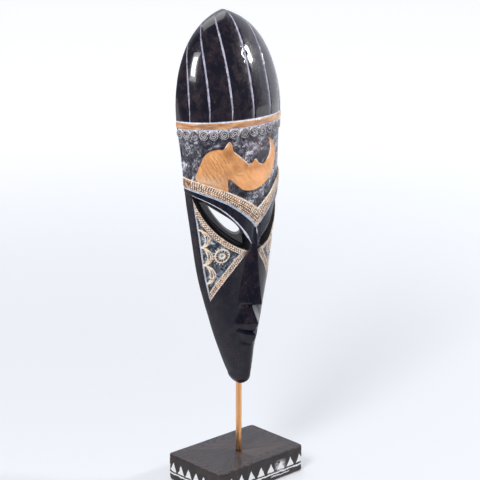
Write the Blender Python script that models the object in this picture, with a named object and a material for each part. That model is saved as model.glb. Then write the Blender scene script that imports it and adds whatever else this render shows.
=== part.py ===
# A tall carved wooden mask with a hollow back, held up on a metal rod over a wooden plinth.
# The mask faces -Y, X runs along the plinth and Z is up; the origin is the middle of the
# plinth's underside. Lengths are metres, except on the mask's chart, described below.

import math

import bmesh
import bpy
import numpy as np
from mathutils import Vector
from mathutils.geometry import delaunay_2d_cdt

# Driving sizes, in metres
MASK_HEIGHT = 0.314
MASK_WIDTH = 0.106
MASK_DEPTH = 0.0505
MASK_WALL = 0.009
ROD_DIAMETER = 0.005
ROD_SHOWN = 0.062
ROD_IN_MASK = 0.022
ROD_FORWARD = 0.0034
PLINTH_WIDTH = 0.098
PLINTH_DEPTH = 0.065
PLINTH_HEIGHT = 0.024
PLINTH_FLOOR = 0.008
PLINTH_TOP_EDGE = 0.001
PLINTH_FOOT_EDGE = 0.0028
PLINTH_CORNER = 0.003
CHIN_WOOD = 0.0235
CROWN_WOOD = 0.014
FIT_GAP = 0.0003
EYE_CUT = 0.013
CUT_PAST = 0.006
HOLLOW_LEAST = 0.0015
ROUND_SIDES = 20

# The mask's skin is laid out flat on a chart, 314 units high, and rolled round the body.
# One chart unit is a millimetre at the real size. On the chart, x runs round the face from
# its middle line and y runs up from the chin, following the surface over the cap.
CHART_HEIGHT = 314.0
CHART_WIDTH = 106.0
CHART_DEPTH = 50.5
UNIT = MASK_HEIGHT / CHART_HEIGHT
WIDTH_UNIT = MASK_WIDTH / CHART_WIDTH
DEPTH_UNIT = MASK_DEPTH / CHART_DEPTH

# Sections of the body from the chin to the band: height, half width, reach of the front
SECTIONS = np.array([
    (10.0, 7.6, 11.4),
    (28.0, 15.0, 11.5),
    (44.0, 21.0, 12.6),
    (66.0, 28.0, 13.3),
    (95.0, 36.2, 13.9),
    (137.0, 42.6, 17.9),
    (164.0, 46.2, 20.0),
    (200.0, 49.3, 20.0),
    (237.0, 53.0, 18.4),
])
CHIN_TOP, CAP_FOOT = SECTIONS[0, 0], SECTIONS[-1, 0]
CHIN_START = -4.0
CHIN_MIDDLE = 1.4
CHIN_ROUNDNESS = 1.05
CAP_LENGTH = 97.0
CAP_TIP_FRONT = -19.5
CAP_SLOPE = 0.235
CAP_EASE = 0.05
CAP_LEAN = 0.8
CAP_ROUNDNESS = 1.08
CAP_POINT = 0.5
BACK_AT_CHIN = 7.6
BACK_LEAN = 0.047
RIM_TURN = 3.0
CHIN_TURN = 10.0
CHIN_TURN_HEIGHT = 8.0
SEAM_SNAP = 0.001

# Carved depths and rises, in chart units
CARVED_EDGE = 0.7
GROUND_DEPTH = 1.0
BORDER_RISE = 0.6
BROW_RISE = 0.5
BAND_RISE = 0.4
ANIMAL_RISE = 1.6
ANIMAL_SWELL = 1.2
CURL_RISE = 1.0
SOCKET_DEPTH = 5.0
SOCKET_WALL = 1.5
LID_RISE = 3.2
LINE_DEPTH = 0.6

# The cap's lines, the band and the row of curls
CAP_LINE_PITCH = 17.5
CAP_LINE_WIDTH = 1.8
BAND_FOOT = 223.9
BAND_TOP = 228.8
CURL_PITCH = 8.2
CURL_RADIUS = 4.5
CURL_EYE = 1.7
CURL_HEIGHT = 219.2
NET_STEP = 5.4

# The forehead's V border and the brow: height at the middle, rise to the side, spread
BORDER_TOP = (157.0, 32.0, 34.0)
BORDER_FOOT = (140.8, 38.0, 27.0)
BROW_FOOT = (123.5, 51.0, 23.5)
BROW_MIDDLE = 1.5
BROW_SWELL = 2.9
BROW_SWELL_REACH = 20.0
BROW_SWELL_FOOT = (112.0, 128.0)
BROW_SWELL_TOP = (160.0, 188.0)
BORDER_REACH = 60.5

# Eye, cheek, nose and mouth
EYE_OUTER = (40.8, 162.3)
EYE_INNER = (12.6, 136.2)
EYE_HALF_WIDTH = 4.3
EYE_FACING = 40.0
SOCKET_INNER = (3.6, 119.8)
SOCKET_BEND = (36.9, 136.8)
SOCKET_OUTER = (54.0, 167.0)
LID_INNER = (6.0, 123.6)
LID_BEND = (33.5, 141.4)
LID_OUTER = (49.8, 164.2)
CHEEK_FOOT = (34.0, 77.4)
CHEEK_LINE = 5.0
CHEEK_DOTS = 4.3
ARC_WIDTH = 2.6
ARC_REACH = 9.4
ARC_JOINTS = (140.4, 125.4, 110.2, 93.8)
ROSETTE_CENTRE = (24.2, 118.0)
ROSETTE_RADIUS = 6.4
ROSETTE_EYE = 2.4
NOSE_TIP = 76.3
NOSE_ROOT = 159.0
NOSE_REACH = 14.8
NOSE_TURN = 127.0
NOSE_BRIDGE = 3.2
NOSE_SPREAD = 0.136
NOSTRIL = 71.0
MOUTH_HEIGHT = 49.8
MOUTH_HALF_WIDTH = 14.5
MOUTH_CORNER_RISE = 5.2
MOUTH_REACH = 6.2
LIP_CREST = 58.2
LIP_REACH = 11.0
LIP_DROP = 3.0
LIP_FALL = 1.65
LIP_ROLL = 2.4
LIP_SWELL = 6.0
MOUTH_CUT = 1.6
MOUTH_OPEN = 2.0
PHILTRUM_HEIGHT = 70.0
PHILTRUM_REACH = 3.9
PHILTRUM_HALF_WIDTH = 4.0


def smooth(value, low, high):
    """An eased step from 0 at low to 1 at high."""
    t = np.clip((np.asarray(value, float) - low) / (high - low), 0.0, 1.0)
    return t * t * (3.0 - 2.0 * t)


def through(knots, values, where):
    """A smooth curve through the values at the knots, read at the given places."""
    steps = np.diff(knots)
    slopes = np.diff(values) / steps
    tangents = np.zeros(len(knots))
    tangents[1:-1] = (slopes[:-1] * steps[1:] + slopes[1:] * steps[:-1]) / (steps[:-1] + steps[1:])
    tangents[0] = slopes[0]
    i = np.clip(np.searchsorted(knots, where) - 1, 0, len(knots) - 2)
    h, t = steps[i], (where - knots[i]) / steps[i]
    start = (1 + 2 * t) * (1 - t) ** 2 * values[i] + t * (1 - t) ** 2 * h * tangents[i]
    end = t * t * (3 - 2 * t) * values[i + 1] + t * t * (t - 1) * h * tangents[i + 1]
    return start + end


def section(y):
    """The body's section at chart height y: height, half width, front, side, back, chart radius."""
    y = np.asarray(y, float)
    over_cap = np.clip((y - CAP_FOOT) / CAP_LENGTH, 0.0, 1.0) * math.pi / 2
    under_chin = np.clip((y - CHIN_START) / (CHIN_TOP - CHIN_START), 0.0, 1.0) * math.pi / 2
    cap, chin = y > CAP_FOOT, y < CHIN_TOP
    height = np.where(cap, CAP_FOOT + (CHART_HEIGHT - CAP_FOOT) * np.sin(over_cap), y)
    height = np.where(chin, CHIN_TOP * (1.0 - np.cos(under_chin)), height)
    level = np.clip(height, CHIN_TOP, CAP_FOOT)
    half_width = through(SECTIONS[:, 0], SECTIONS[:, 1], level)
    front = through(SECTIONS[:, 0], SECTIONS[:, 2], level)
    back = -(BACK_AT_CHIN + BACK_LEAN * height)
    side = back + RIM_TURN + CHIN_TURN * np.exp(-(height / CHIN_TURN_HEIGHT) ** 2)
    radius = (half_width + front - side) / 2
    shrink = np.cos(over_cap)
    above = np.sin(over_cap)
    set_back = shrink * (1.0 - CAP_SLOPE * (above ** 2 / (above + CAP_EASE)) ** CAP_LEAN)
    cap_round = CAP_ROUNDNESS + CAP_POINT * (1.0 - shrink) ** 2
    half_width = np.where(cap, half_width * shrink ** cap_round, half_width)
    front = np.where(cap, CAP_TIP_FRONT + (front - CAP_TIP_FRONT) * set_back, front)
    side = np.where(cap, CAP_TIP_FRONT + (side - CAP_TIP_FRONT) * np.sqrt(shrink), side)
    back = np.where(cap, CAP_TIP_FRONT + (back - CAP_TIP_FRONT) * np.sqrt(shrink), back)
    radius = np.where(cap, radius * shrink, radius)
    grow = np.where(chin, np.sin(under_chin) ** CHIN_ROUNDNESS, 1.0)
    half_width = half_width * grow
    front = CHIN_MIDDLE + (front - CHIN_MIDDLE) * grow
    side = CHIN_MIDDLE + (side - CHIN_MIDDLE) * grow
    back = CHIN_MIDDLE + (back - CHIN_MIDDLE) * grow
    return height, half_width, front, side, back, radius


def body(x, y):
    """Points of the uncarved body, in metres over the chin, for places on the chart."""
    height, half_width, front, side, back, radius = section(y)
    turn = x / np.maximum(radius, 1e-6)
    turn = np.where(np.abs(turn) > math.pi - SEAM_SNAP, np.copysign(math.pi, turn), turn)
    across, ahead = np.sin(turn), np.cos(turn)
    facing = ahead >= 0
    wide = np.where(facing, across, np.sign(across) * np.sqrt(np.abs(across)))
    reach = np.where(facing, (front - side) * ahead, -(side - back) * np.sqrt(np.abs(ahead)))
    return np.stack([half_width * wide * WIDTH_UNIT, -(side + reach) * DEPTH_UNIT, height * UNIT], -1)


def body_normals(x, y):
    """Directions straight out of the uncarved body."""
    step = 0.25
    low, high = CHIN_START + step, CAP_FOOT + CAP_LENGTH - step
    y = np.clip(y, low, high)
    radius = section(y)[5]
    around = body(x + step, y) - body(x - step, y)
    turn = x / np.maximum(radius, 1e-6)
    upper, lower = y + step, y - step
    upward = body(turn * section(upper)[5], upper) - body(turn * section(lower)[5], lower)
    normal = np.cross(around, upward)
    return normal / np.maximum(np.linalg.norm(normal, axis=-1, keepdims=True), 1e-12)


def bend(start, control, end, count):
    """Points of a curve from start to end that leans towards the control point."""
    t = np.linspace(0.0, 1.0, count)[:, None]
    start, control, end = map(np.asarray, (start, control, end))
    return (1 - t) ** 2 * start + 2 * t * (1 - t) * control + t * t * end


def rounded(points, closed, count):
    """A smooth line through hand-set points, with count steps between neighbours."""
    points = np.asarray(points, float)
    total = len(points)
    line = []
    for i in range(total if closed else total - 1):
        if closed:
            a, b, c, d = (points[(i + k) % total] for k in (-1, 0, 1, 2))
        else:
            a, b, c, d = (points[min(max(i + k, 0), total - 1)] for k in (-1, 0, 1, 2))
        for t in np.arange(count) / count:
            line.append(0.5 * (2 * b + (c - a) * t + (2 * a - 5 * b + 4 * c - d) * t * t
                               + (3 * b - a - 3 * c + d) * t ** 3))
    if not closed:
        line.append(points[-1])
    return np.array(line)


def mirrored(line):
    return np.asarray(line) * (-1.0, 1.0)


def offset(line, distance, closed=True):
    """The line moved sideways, to the left of its direction for a positive distance."""
    line = np.asarray(line, float)
    if closed:
        before, after = np.roll(line, 1, 0), np.roll(line, -1, 0)
    else:
        before, after = np.vstack([line[:1], line[:-1]]), np.vstack([line[1:], line[-1:]])
    along = after - before
    along /= np.maximum(np.linalg.norm(along, axis=1, keepdims=True), 1e-9)
    return line + distance * np.stack([-along[:, 1], along[:, 0]], 1)


def area(outline):
    x, y = np.asarray(outline).T
    return 0.5 * np.sum(x * np.roll(y, -1) - y * np.roll(x, -1))


def anticlockwise(outline):
    return outline if area(outline) > 0 else outline[::-1]


def depth_inside(x, y, outline):
    """How far each place is inside a closed outline; outside it is negative."""
    starts = np.asarray(outline)
    ends = np.roll(starts, -1, 0)
    nearest = np.full(np.shape(x), 1e9)
    within = np.zeros(np.shape(x), bool)
    for (ax, ay), (bx, by) in zip(starts, ends):
        dx, dy = bx - ax, by - ay
        t = np.clip(((x - ax) * dx + (y - ay) * dy) / max(dx * dx + dy * dy, 1e-12), 0.0, 1.0)
        nearest = np.minimum(nearest, np.hypot(x - ax - t * dx, y - ay - t * dy))
        if ay != by:
            within ^= ((ay > y) != (by > y)) & (x < (bx - ax) * (y - ay) / (by - ay) + ax)
    return np.where(within, nearest, -nearest)


def raised(x, y, outline, edge=CARVED_EDGE):
    """1 on the flat of a carved form, 0 off it, with a bevelled edge between."""
    return np.clip(depth_inside(x, y, outline) / edge, 0.0, 1.0)


def strip(line, width, closed=False):
    """The outline of a band of even width along an open line."""
    sides = [offset(line, width / 2, closed), offset(line, -width / 2, closed)[::-1]]
    return anticlockwise(np.vstack(sides))


def rim_reach(y):
    """How far round the chart the front reaches, just short of the rim's turn."""
    return section(y)[5] * math.radians(88.0)


def swept(x, curve):
    """A line that climbs from the middle and levels out to the side."""
    middle, rise, spread = curve
    return middle + rise * (1.0 - np.exp(-x / spread))


def border_top(x):
    return swept(np.abs(x), BORDER_TOP)


def border_foot(x):
    return swept(np.abs(x), BORDER_FOOT)


def brow_foot(x):
    return swept(np.abs(x) - BROW_MIDDLE, BROW_FOOT)


def brow_foot_reach(y):
    """The brow's lower edge again, as a distance from the middle for a height."""
    middle, rise, spread = BROW_FOOT
    share = np.clip((np.asarray(y, float) - middle) / rise, 0.0, 0.97)
    return BROW_MIDDLE - spread * np.log(1.0 - share)


def border_outline():
    reach = np.concatenate([np.linspace(-1, 0, 15), np.linspace(0, 1, 15)[1:]])
    x = np.sign(reach) * np.abs(reach) ** 1.2 * BORDER_REACH
    top = np.stack([x, border_top(x)], 1)
    foot = np.stack([x, border_foot(x)], 1)
    return anticlockwise(np.vstack([foot, top[::-1]]))


def ground_outline():
    """The sunk ground behind the animal, from the band down to the border."""
    x = np.linspace(-BORDER_REACH, BORDER_REACH, 25)
    reach = rim_reach(BAND_FOOT)
    top = np.stack([np.linspace(-reach, reach, 27), np.full(27, BAND_FOOT)], 1)
    return anticlockwise(np.vstack([np.stack([x, border_top(x)], 1), top[::-1]]))


def socket_outline():
    lower = bend(SOCKET_INNER, SOCKET_BEND, SOCKET_OUTER, 15)
    x = np.linspace(SOCKET_OUTER[0], 4.6, 15)
    upper = np.stack([x, brow_foot(x)], 1)
    return anticlockwise(np.vstack([lower, upper]))


def lid_outline():
    """The eyelid, a raised leaf round the opening, widest below it."""
    lower = bend(LID_INNER, LID_BEND, LID_OUTER, 12)
    upper = rounded([LID_OUTER, (41.0, 164.3), (27.6, 156.8), (13.8, 145.8), (8.4, 136.4),
                     LID_INNER], False, 3)
    return anticlockwise(np.vstack([lower[:-1], upper[:-1]]))


def eye_outline(half_width=EYE_HALF_WIDTH):
    """A drop shape: pointed at the temple, blunt by the nose."""
    outer, inner = np.array(EYE_OUTER), np.array(EYE_INNER)
    axis = inner - outer
    across = np.array([-axis[1], axis[0]]) / np.linalg.norm(axis)
    share = np.array([0.0, 0.12, 0.27, 0.43, 0.6, 0.76, 0.88, 0.96, 1.0])
    wide = half_width * np.sin(np.minimum(share / 0.8, 1.0) * math.pi / 2) * np.sqrt(1.0 - share ** 9)
    centre = outer + share[:, None] * axis
    upper = centre + across * wide[:, None]
    lower = centre - across * wide[:, None]
    return anticlockwise(np.vstack([upper, lower[-2:0:-1]]))


def cheek_side(y):
    """The outer edge of the cheek panel, straight from the eye's outer corner to the foot."""
    share = (y - CHEEK_FOOT[1]) / (SOCKET_OUTER[1] - CHEEK_FOOT[1])
    return CHEEK_FOOT[0] + share * (SOCKET_OUTER[0] - CHEEK_FOOT[0])


def cheek_ground():
    """The sunk part of the cheek panel, inside its borders."""
    top = offset(bend(SOCKET_INNER, SOCKET_BEND, SOCKET_OUTER, 25), -CHEEK_DOTS, False)
    top = top[(top[:, 0] > 10.5) & (top[:, 0] < cheek_side(top[:, 1]) - 1.6)]
    slope = offset(np.linspace(CHEEK_FOOT, SOCKET_INNER, 40), -CHEEK_LINE, False)
    slope = slope[(slope[:, 0] > 10.5) & (slope[:, 0] < cheek_side(slope[:, 1]) - 1.6)]
    return anticlockwise(np.vstack([spaced(top, 3.5), spaced(slope, 3.5)]))


def arc_outlines():
    """Three scallops along the side of the cheek panel."""
    outlines = []
    for high, low in zip(ARC_JOINTS, ARC_JOINTS[1:]):
        middle, half = (high + low) / 2, (high - low) / 2
        sweep = np.linspace(-math.pi / 2, math.pi / 2, 9)
        y = middle + half * np.sin(sweep)
        line = np.stack([cheek_side(y) - 0.6 - ARC_REACH * np.cos(sweep), y], 1)
        outlines.append(strip(line, ARC_WIDTH))
    return outlines


def cheek_sunk(side, y):
    """1 where the cheek panel is cut back, 0 on its borders, scallops and rosette."""
    kept = raised(side, y, ring(ROSETTE_CENTRE, ROSETTE_RADIUS, 14))
    kept = kept - 0.8 * raised(side, y, ring(ROSETTE_CENTRE, ROSETTE_EYE, 8))
    for arc in arc_outlines():
        kept = np.maximum(kept, raised(side, y, arc))
    return raised(side, y, cheek_ground()) * (1.0 - kept)


def ring(centre, radius, count):
    angle = np.arange(count) * 2 * math.pi / count
    return np.stack([centre[0] + radius * np.cos(angle), centre[1] + radius * np.sin(angle)], 1)


def curl_centres():
    reach = rim_reach(CURL_HEIGHT) - CURL_RADIUS
    count = int(reach // CURL_PITCH)
    return [(i * CURL_PITCH, CURL_HEIGHT) for i in range(-count, count + 1)]


def curls(x, y):
    """A row of round bosses, each with a sunk eye."""
    out = np.zeros(np.shape(x))
    for centre in curl_centres():
        away = np.hypot(x - centre[0], y - centre[1])
        boss = np.clip((CURL_RADIUS - away) / CARVED_EDGE, 0.0, 1.0)
        out = np.maximum(out, boss - 0.8 * np.clip((CURL_EYE - away) / CURL_EYE, 0.0, 1.0))
    return out


def cap_line_places():
    """The cap's lines run straight up the chart, evenly spaced round the cap."""
    count = int(rim_reach(CAP_FOOT) // CAP_LINE_PITCH)
    return [i * CAP_LINE_PITCH for i in range(-count, count + 1)]


def cap_line_top(x):
    """Where a line going up the chart meets the cap's rear edge."""
    y = np.linspace(CAP_FOOT, CAP_FOOT + CAP_LENGTH, 200)
    return y[np.argmax(rim_reach(y) < max(abs(x), 6.0))]


def cap_grooves(x, y):
    groove = np.zeros(np.shape(x))
    for place in cap_line_places():
        cut_here = np.clip(1.0 - np.abs(x - place) * 2 / CAP_LINE_WIDTH, 0.0, 1.0)
        cut_here = cut_here * smooth(cap_line_top(place) - y, 0.0, 6.0)
        groove = np.maximum(groove, cut_here)
    return groove * (y > BAND_TOP)


def animal_outline():
    """A rhinoceros head in profile, looking towards the mask's left."""
    neck = [(-50.2, 183.0), (-48.1, 190.0), (-45.0, 196.4), (-41.8, 202.0), (-37.0, 206.0),
            (-31.0, 207.4)]
    ear = [(-25.4, 207.6), (-22.7, 210.7), (-20.4, 213.2), (-18.6, 210.8), (-17.6, 205.2)]
    brow = [(-13.2, 200.8), (-9.3, 196.8), (-5.5, 193.4)]
    small_horn = [(-2.1, 194.4), (0.9, 196.6), (3.9, 192.9), (7.2, 191.4)]
    horn = [(10.4, 192.0), (14.6, 195.6), (17.4, 200.2), (17.8, 205.0), (16.6, 209.4), (14.2, 212.6),
            (19.4, 209.0), (22.8, 202.4), (23.4, 195.4)]
    snout = [(21.8, 188.8), (18.4, 183.2), (12.0, 178.0), (4.7, 174.1), (-2.2, 171.9), (-10.4, 172.6)]
    jaw = [(-14.6, 176.0), (-18.4, 179.7), (-21.8, 182.6), (-22.6, 178.2), (-22.9, 172.6)]
    foot = [(-32.0, 176.4), (-42.0, 179.4)]
    return anticlockwise(rounded(neck + ear + brow + small_horn + horn + snout + jaw + foot, True, 1))


def nose_half_width(y):
    y = np.asarray(y, float)
    below_brow = NOSE_BRIDGE + NOSE_SPREAD * (NOSE_TURN - y)
    return np.where(y < NOSE_TURN, below_brow, np.maximum(brow_foot_reach(y), NOSE_BRIDGE))


def nose(x, y):
    """A long straight ridge, wider and higher towards its tip, cut off flat below."""
    reach = NOSE_REACH * np.clip((NOSE_ROOT - y) / (NOSE_ROOT - NOSE_TIP), 0.0, 1.0)
    flank = np.clip(1.0 - np.abs(x) / nose_half_width(np.maximum(y, NOSTRIL)), 0.0, 1.0) ** 1.15
    return reach * flank * smooth(y, NOSTRIL, NOSE_TIP)


def brow_swell(x, y):
    """The forehead stands forward over the nose and between the eyes."""
    rise = smooth(y, *BROW_SWELL_FOOT) * (1.0 - smooth(y, *BROW_SWELL_TOP))
    return BROW_SWELL * rise * np.exp(-(x / BROW_SWELL_REACH) ** 4)


def mouth_line(x):
    return MOUTH_HEIGHT + MOUTH_CORNER_RISE * (x / MOUTH_HALF_WIDTH) ** 2


def lip_crest(x):
    return LIP_CREST - LIP_DROP * (x / MOUTH_HALF_WIDTH) ** 2


def wedge(x, half_width):
    """1 on the middle line, falling away to 0 at the half width."""
    return np.clip(1.0 - np.abs(x) / half_width, 0.0, 1.0) ** LIP_FALL


def mouth_relief(x, y):
    """The ridge from the nose to the upper lip, the mouth's cut and the lower lip."""
    mouth = mouth_line(x)
    crest = lip_crest(x)
    ridge_width = np.interp(y, [LIP_CREST, NOSE_TIP], [MOUTH_HALF_WIDTH, PHILTRUM_HALF_WIDTH])
    ridge = np.interp(y, [LIP_CREST, PHILTRUM_HEIGHT, NOSE_TIP], [LIP_REACH, PHILTRUM_REACH, 0.0])
    rise = np.clip((y - mouth) / np.maximum(crest - mouth, CARVED_EDGE), 0.0, 1.0)
    upper_lip = MOUTH_REACH + (LIP_REACH - MOUTH_REACH) * rise
    corner = np.clip(1.0 - (x / MOUTH_HALF_WIDTH) ** 2, 0.0, 1.0)
    parted = np.interp(y - mouth, [-LIP_ROLL, 0.0, MOUTH_OPEN], [0.0, MOUTH_CUT, 0.0]) * corner
    under = mouth - y
    lower_lip = np.interp(under, [0.0, LIP_ROLL, LIP_SWELL, 12.0, 18.0], [MOUTH_REACH, 8.6, 7.2, 3.2, 0.0])
    lower_width = np.interp(under, [0.0, 12.0], [MOUTH_HALF_WIDTH, 8.0])
    lips = np.where(y < mouth, lower_lip * wedge(x, lower_width), upper_lip * wedge(x, MOUTH_HALF_WIDTH))
    return np.where(y >= crest, ridge * wedge(x, ridge_width), lips) - parted


def chin_keel(x, y):
    """The rounded ridge that runs down from the lower lip to the chin."""
    height = np.interp(y, [2.0, 14.0, 26.0, 38.0, 46.0], [0.0, 1.8, 3.2, 3.8, 0.0])
    return height * np.exp(-(x / 6.0) ** 2)


def relief(x, y):
    """How far the carved surface stands out of the body, in chart units."""
    side = np.abs(x)
    socket = raised(side, y, socket_outline(), SOCKET_WALL)
    out = np.maximum(nose(x, y), brow_swell(x, y) * (1.0 - socket))
    out = np.maximum(out, np.maximum(mouth_relief(x, y), chin_keel(x, y)))
    lid = raised(side, y, lid_outline(), SOCKET_WALL)
    out = out - SOCKET_DEPTH * socket + LID_RISE * lid * socket
    brow = (y > brow_foot(x) - 0.01) & (y < border_foot(x)) & (side > 3.0)
    out = out + BROW_RISE * brow + BORDER_RISE * raised(x, y, border_outline())
    inside = depth_inside(x, y, animal_outline())
    animal = np.clip(inside / CARVED_EDGE, 0.0, 1.0)
    ground = raised(x, y, ground_outline())
    out = out + animal * (ANIMAL_RISE + ANIMAL_SWELL * smooth(inside, 0.0, 9.0))
    out = out - GROUND_DEPTH * ground + CURL_RISE * curls(x, y)
    band = (y > BAND_FOOT + CARVED_EDGE / 2) & (y < BAND_TOP - CARVED_EDGE / 2)
    out = out + BAND_RISE * band - LINE_DEPTH * cap_grooves(x, y)
    return out - GROUND_DEPTH * cheek_sunk(side, y)


def spaced(line, step, closed=False):
    """The line again, with its points about one step apart."""
    line = np.asarray(line, float)
    if closed:
        line = np.vstack([line, line[:1]])
    lengths = np.concatenate([[0.0], np.cumsum(np.linalg.norm(np.diff(line, axis=0), axis=1))])
    count = max(int(round(lengths[-1] / step)), 1)
    marks = np.linspace(0.0, lengths[-1], count + 1)
    return np.stack([np.interp(marks, lengths, line[:, k]) for k in (0, 1)], 1)


def carving_lines():
    """Lines on the chart that the skin's triangles follow, as (points, closed)."""
    lines = []

    def both_sides(line, closed):
        lines.append((np.asarray(line), closed))
        lines.append((mirrored(line), closed))

    def walls(outline, edge, both):
        for distance in (0.0, edge):
            shape = offset(outline, distance)
            if both:
                both_sides(shape, True)
            else:
                lines.append((shape, True))

    walls(socket_outline(), SOCKET_WALL, True)
    walls(lid_outline(), SOCKET_WALL, True)
    walls(cheek_ground(), CARVED_EDGE, True)
    for arc in arc_outlines():
        walls(arc, CARVED_EDGE, True)
    walls(ring(ROSETTE_CENTRE, ROSETTE_RADIUS, 12), CARVED_EDGE, True)
    walls(ring(ROSETTE_CENTRE, ROSETTE_EYE, 7), CARVED_EDGE, True)
    walls(border_outline(), CARVED_EDGE, False)
    walls(animal_outline(), CARVED_EDGE, False)
    walls(ground_outline(), CARVED_EDGE, False)
    for centre in curl_centres():
        for radius, count in ((CURL_RADIUS, 10), (CURL_RADIUS - CARVED_EDGE, 10), (CURL_EYE, 5)):
            lines.append((ring(centre, radius, count), True))
        lines.append((np.array([centre, (centre[0] + 0.4, centre[1])]), False))
    for height in (BAND_FOOT, BAND_FOOT + CARVED_EDGE, BAND_TOP - CARVED_EDGE, BAND_TOP):
        reach = rim_reach(height)
        lines.append((spaced([(-reach, height), (reach, height)], 5.4), False))
    for place in cap_line_places():
        for shift in (-CAP_LINE_WIDTH / 2, 0.0, CAP_LINE_WIDTH / 2):
            line = [(place + shift, BAND_TOP), (place + shift, cap_line_top(place))]
            lines.append((spaced(line, 9.0), False))
    lines.append((spaced([(0.0, NOSTRIL - 1.0), (0.0, NOSE_ROOT)], 5.0), False))
    y = np.linspace(NOSTRIL, NOSE_TURN, 11)
    both_sides(np.stack([nose_half_width(y), y], 1), False)
    for height in (NOSTRIL, NOSE_TIP):
        lines.append((spaced([(-10.0, height), (10.0, height)], 2.5), False))
    x = np.linspace(-MOUTH_HALF_WIDTH, MOUTH_HALF_WIDTH, 13)
    mouth = mouth_line(x)
    for line in (lip_crest(x), mouth + MOUTH_OPEN, mouth, mouth - LIP_ROLL, mouth - LIP_SWELL):
        lines.append((np.stack([x, line], 1), False))
    lines.append((spaced([(0.0, 14.0), (0.0, LIP_CREST)], 4.0), False))
    lines.append((spaced([(0.0, LIP_CREST), (0.0, NOSTRIL - 1.0)], 3.0), False))
    return lines


def chart_rows():
    """Heights of the rows of points, closer together where the face is carved."""
    chin = np.array([CHIN_START, -2.9, -1.2, 1.2, 4.1, 7.1])
    face = np.arange(10.0, CAP_FOOT, 5.0)
    cap = CAP_FOOT + CAP_LENGTH * np.sin(np.linspace(0.0, 1.0, 15)[:-1] * math.pi / 2 * 0.985)
    return np.concatenate([chin, face, cap])


def row_places(number, y):
    """Places of the net's points along one row of the chart."""
    front = math.pi / 2 * section(y)[5]
    step = NET_STEP * (0.8 if y < CHIN_TOP else 1.4 if y > CAP_FOOT else 1.0)
    count = max(int(round(front / step)), 3)
    shift = 0.5 * (number % 2) / count if y > CHIN_TOP else 0.0
    ahead = np.arange(-count, count + 1) / count
    ahead = np.where(np.abs(ahead) < 0.9, ahead + shift, ahead)
    rear = 1.0 + np.array([0.12, 0.4, 0.7])
    return np.sort(np.concatenate([-rear, ahead, rear])) * front


def seed_points(lines):
    """A net of points over the whole chart, left open near the carving lines, and its edge."""
    net, left, right = [], [], []
    for number, y in enumerate(chart_rows()):
        girth = math.pi * section(y)[5]
        left.append((-girth, y))
        right.append((girth, y))
        row = [(x, y) for x in row_places(number, y)]
        if number == 0:
            foot = row
        else:
            net.extend(row)
        if MOUTH_HEIGHT - LIP_REACH < y < NOSE_TIP + CARVED_EDGE:
            net.extend((x, y + NET_STEP / 2) for x in np.arange(-16.0, 17.0, 3.0))
    net = np.array(net)
    starts = np.vstack([line if closed else line[:-1] for line, closed in lines])
    ends = np.vstack([np.roll(line, -1, 0) if closed else line[1:] for line, closed in lines])
    clear = np.full(len(net), 1e9)
    for a, b in zip(starts, ends):
        d = b - a
        t = np.clip(((net - a) @ d) / max(d @ d, 1e-12), 0.0, 1.0)
        clear = np.minimum(clear, np.linalg.norm(net - a - t[:, None] * d, axis=1))
    tip = (0.0, CAP_FOOT + CAP_LENGTH)
    return net[clear > 1.7], foot + right + [tip] + left[::-1]


def skin_mesh():
    """The carved skin as one closed mesh: the chart is cut into triangles, then rolled up."""
    lines = carving_lines()
    net, boundary = seed_points(lines)
    points = [Vector(p) for p in boundary]
    edges = [(i, (i + 1) % len(boundary)) for i in range(len(boundary))]
    for line, closed in lines:
        first = len(points)
        points.extend(Vector(p) for p in line)
        last = len(line) if closed else len(line) - 1
        edges.extend((first + i, first + (i + 1) % len(line)) for i in range(last))
    points.extend(Vector(p) for p in net)
    flat, _, triangles, _, _, _ = delaunay_2d_cdt(points, edges, [], 1, 0.02)
    x, y = np.array([(p.x, p.y) for p in flat]).T
    place = body(x, y) + body_normals(x, y) * (relief(x, y) * UNIT)[:, None]
    mesh = bpy.data.meshes.new("mask")
    mesh.from_pydata([tuple(p) for p in place], [], [tuple(t) for t in triangles])
    work = bmesh.new()
    work.from_mesh(mesh)
    bmesh.ops.remove_doubles(work, verts=work.verts, dist=2e-5)
    bmesh.ops.dissolve_degenerate(work, edges=work.edges, dist=1e-6)
    bmesh.ops.recalc_face_normals(work, faces=work.faces)
    work.to_mesh(mesh)
    work.free()
    return mesh


def material(name, colour, roughness, metallic=0.0):
    finish = bpy.data.materials.new(name)
    finish.use_nodes = True
    shader = finish.node_tree.nodes["Principled BSDF"]
    shader.inputs["Base Color"].default_value = (*colour, 1.0)
    shader.inputs["Roughness"].default_value = roughness
    shader.inputs["Metallic"].default_value = metallic
    return finish


def add_object(name, mesh, finish=None):
    piece = bpy.data.objects.new(name, mesh)
    bpy.context.scene.collection.objects.link(piece)
    if finish:
        mesh.materials.append(finish)
    return piece


def cutter(name, mesh):
    """A guide shape for a Boolean, kept out of the finished model."""
    piece = add_object(name, mesh)
    piece.hide_render = True
    piece.display_type = "WIRE"
    return piece


def cut(piece, tool):
    step = piece.modifiers.new("cut " + tool.name, "BOOLEAN")
    step.operation = "DIFFERENCE"
    step.solver = "EXACT"
    step.object = tool


def lofted(name, rings):
    """A closed mesh through a stack of rings, with flat ends."""
    work = bmesh.new()
    loops = [[work.verts.new(p) for p in ring_points] for ring_points in rings]
    for lower, upper in zip(loops, loops[1:]):
        for i in range(len(lower)):
            j = (i + 1) % len(lower)
            work.faces.new((lower[i], lower[j], upper[j], upper[i]))
    work.faces.new(loops[0][::-1])
    work.faces.new(loops[-1])
    bmesh.ops.recalc_face_normals(work, faces=work.faces)
    bmesh.ops.triangulate(work, faces=[f for f in work.faces if len(f.verts) > 4])
    mesh = bpy.data.meshes.new(name)
    work.to_mesh(mesh)
    work.free()
    return mesh


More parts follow.
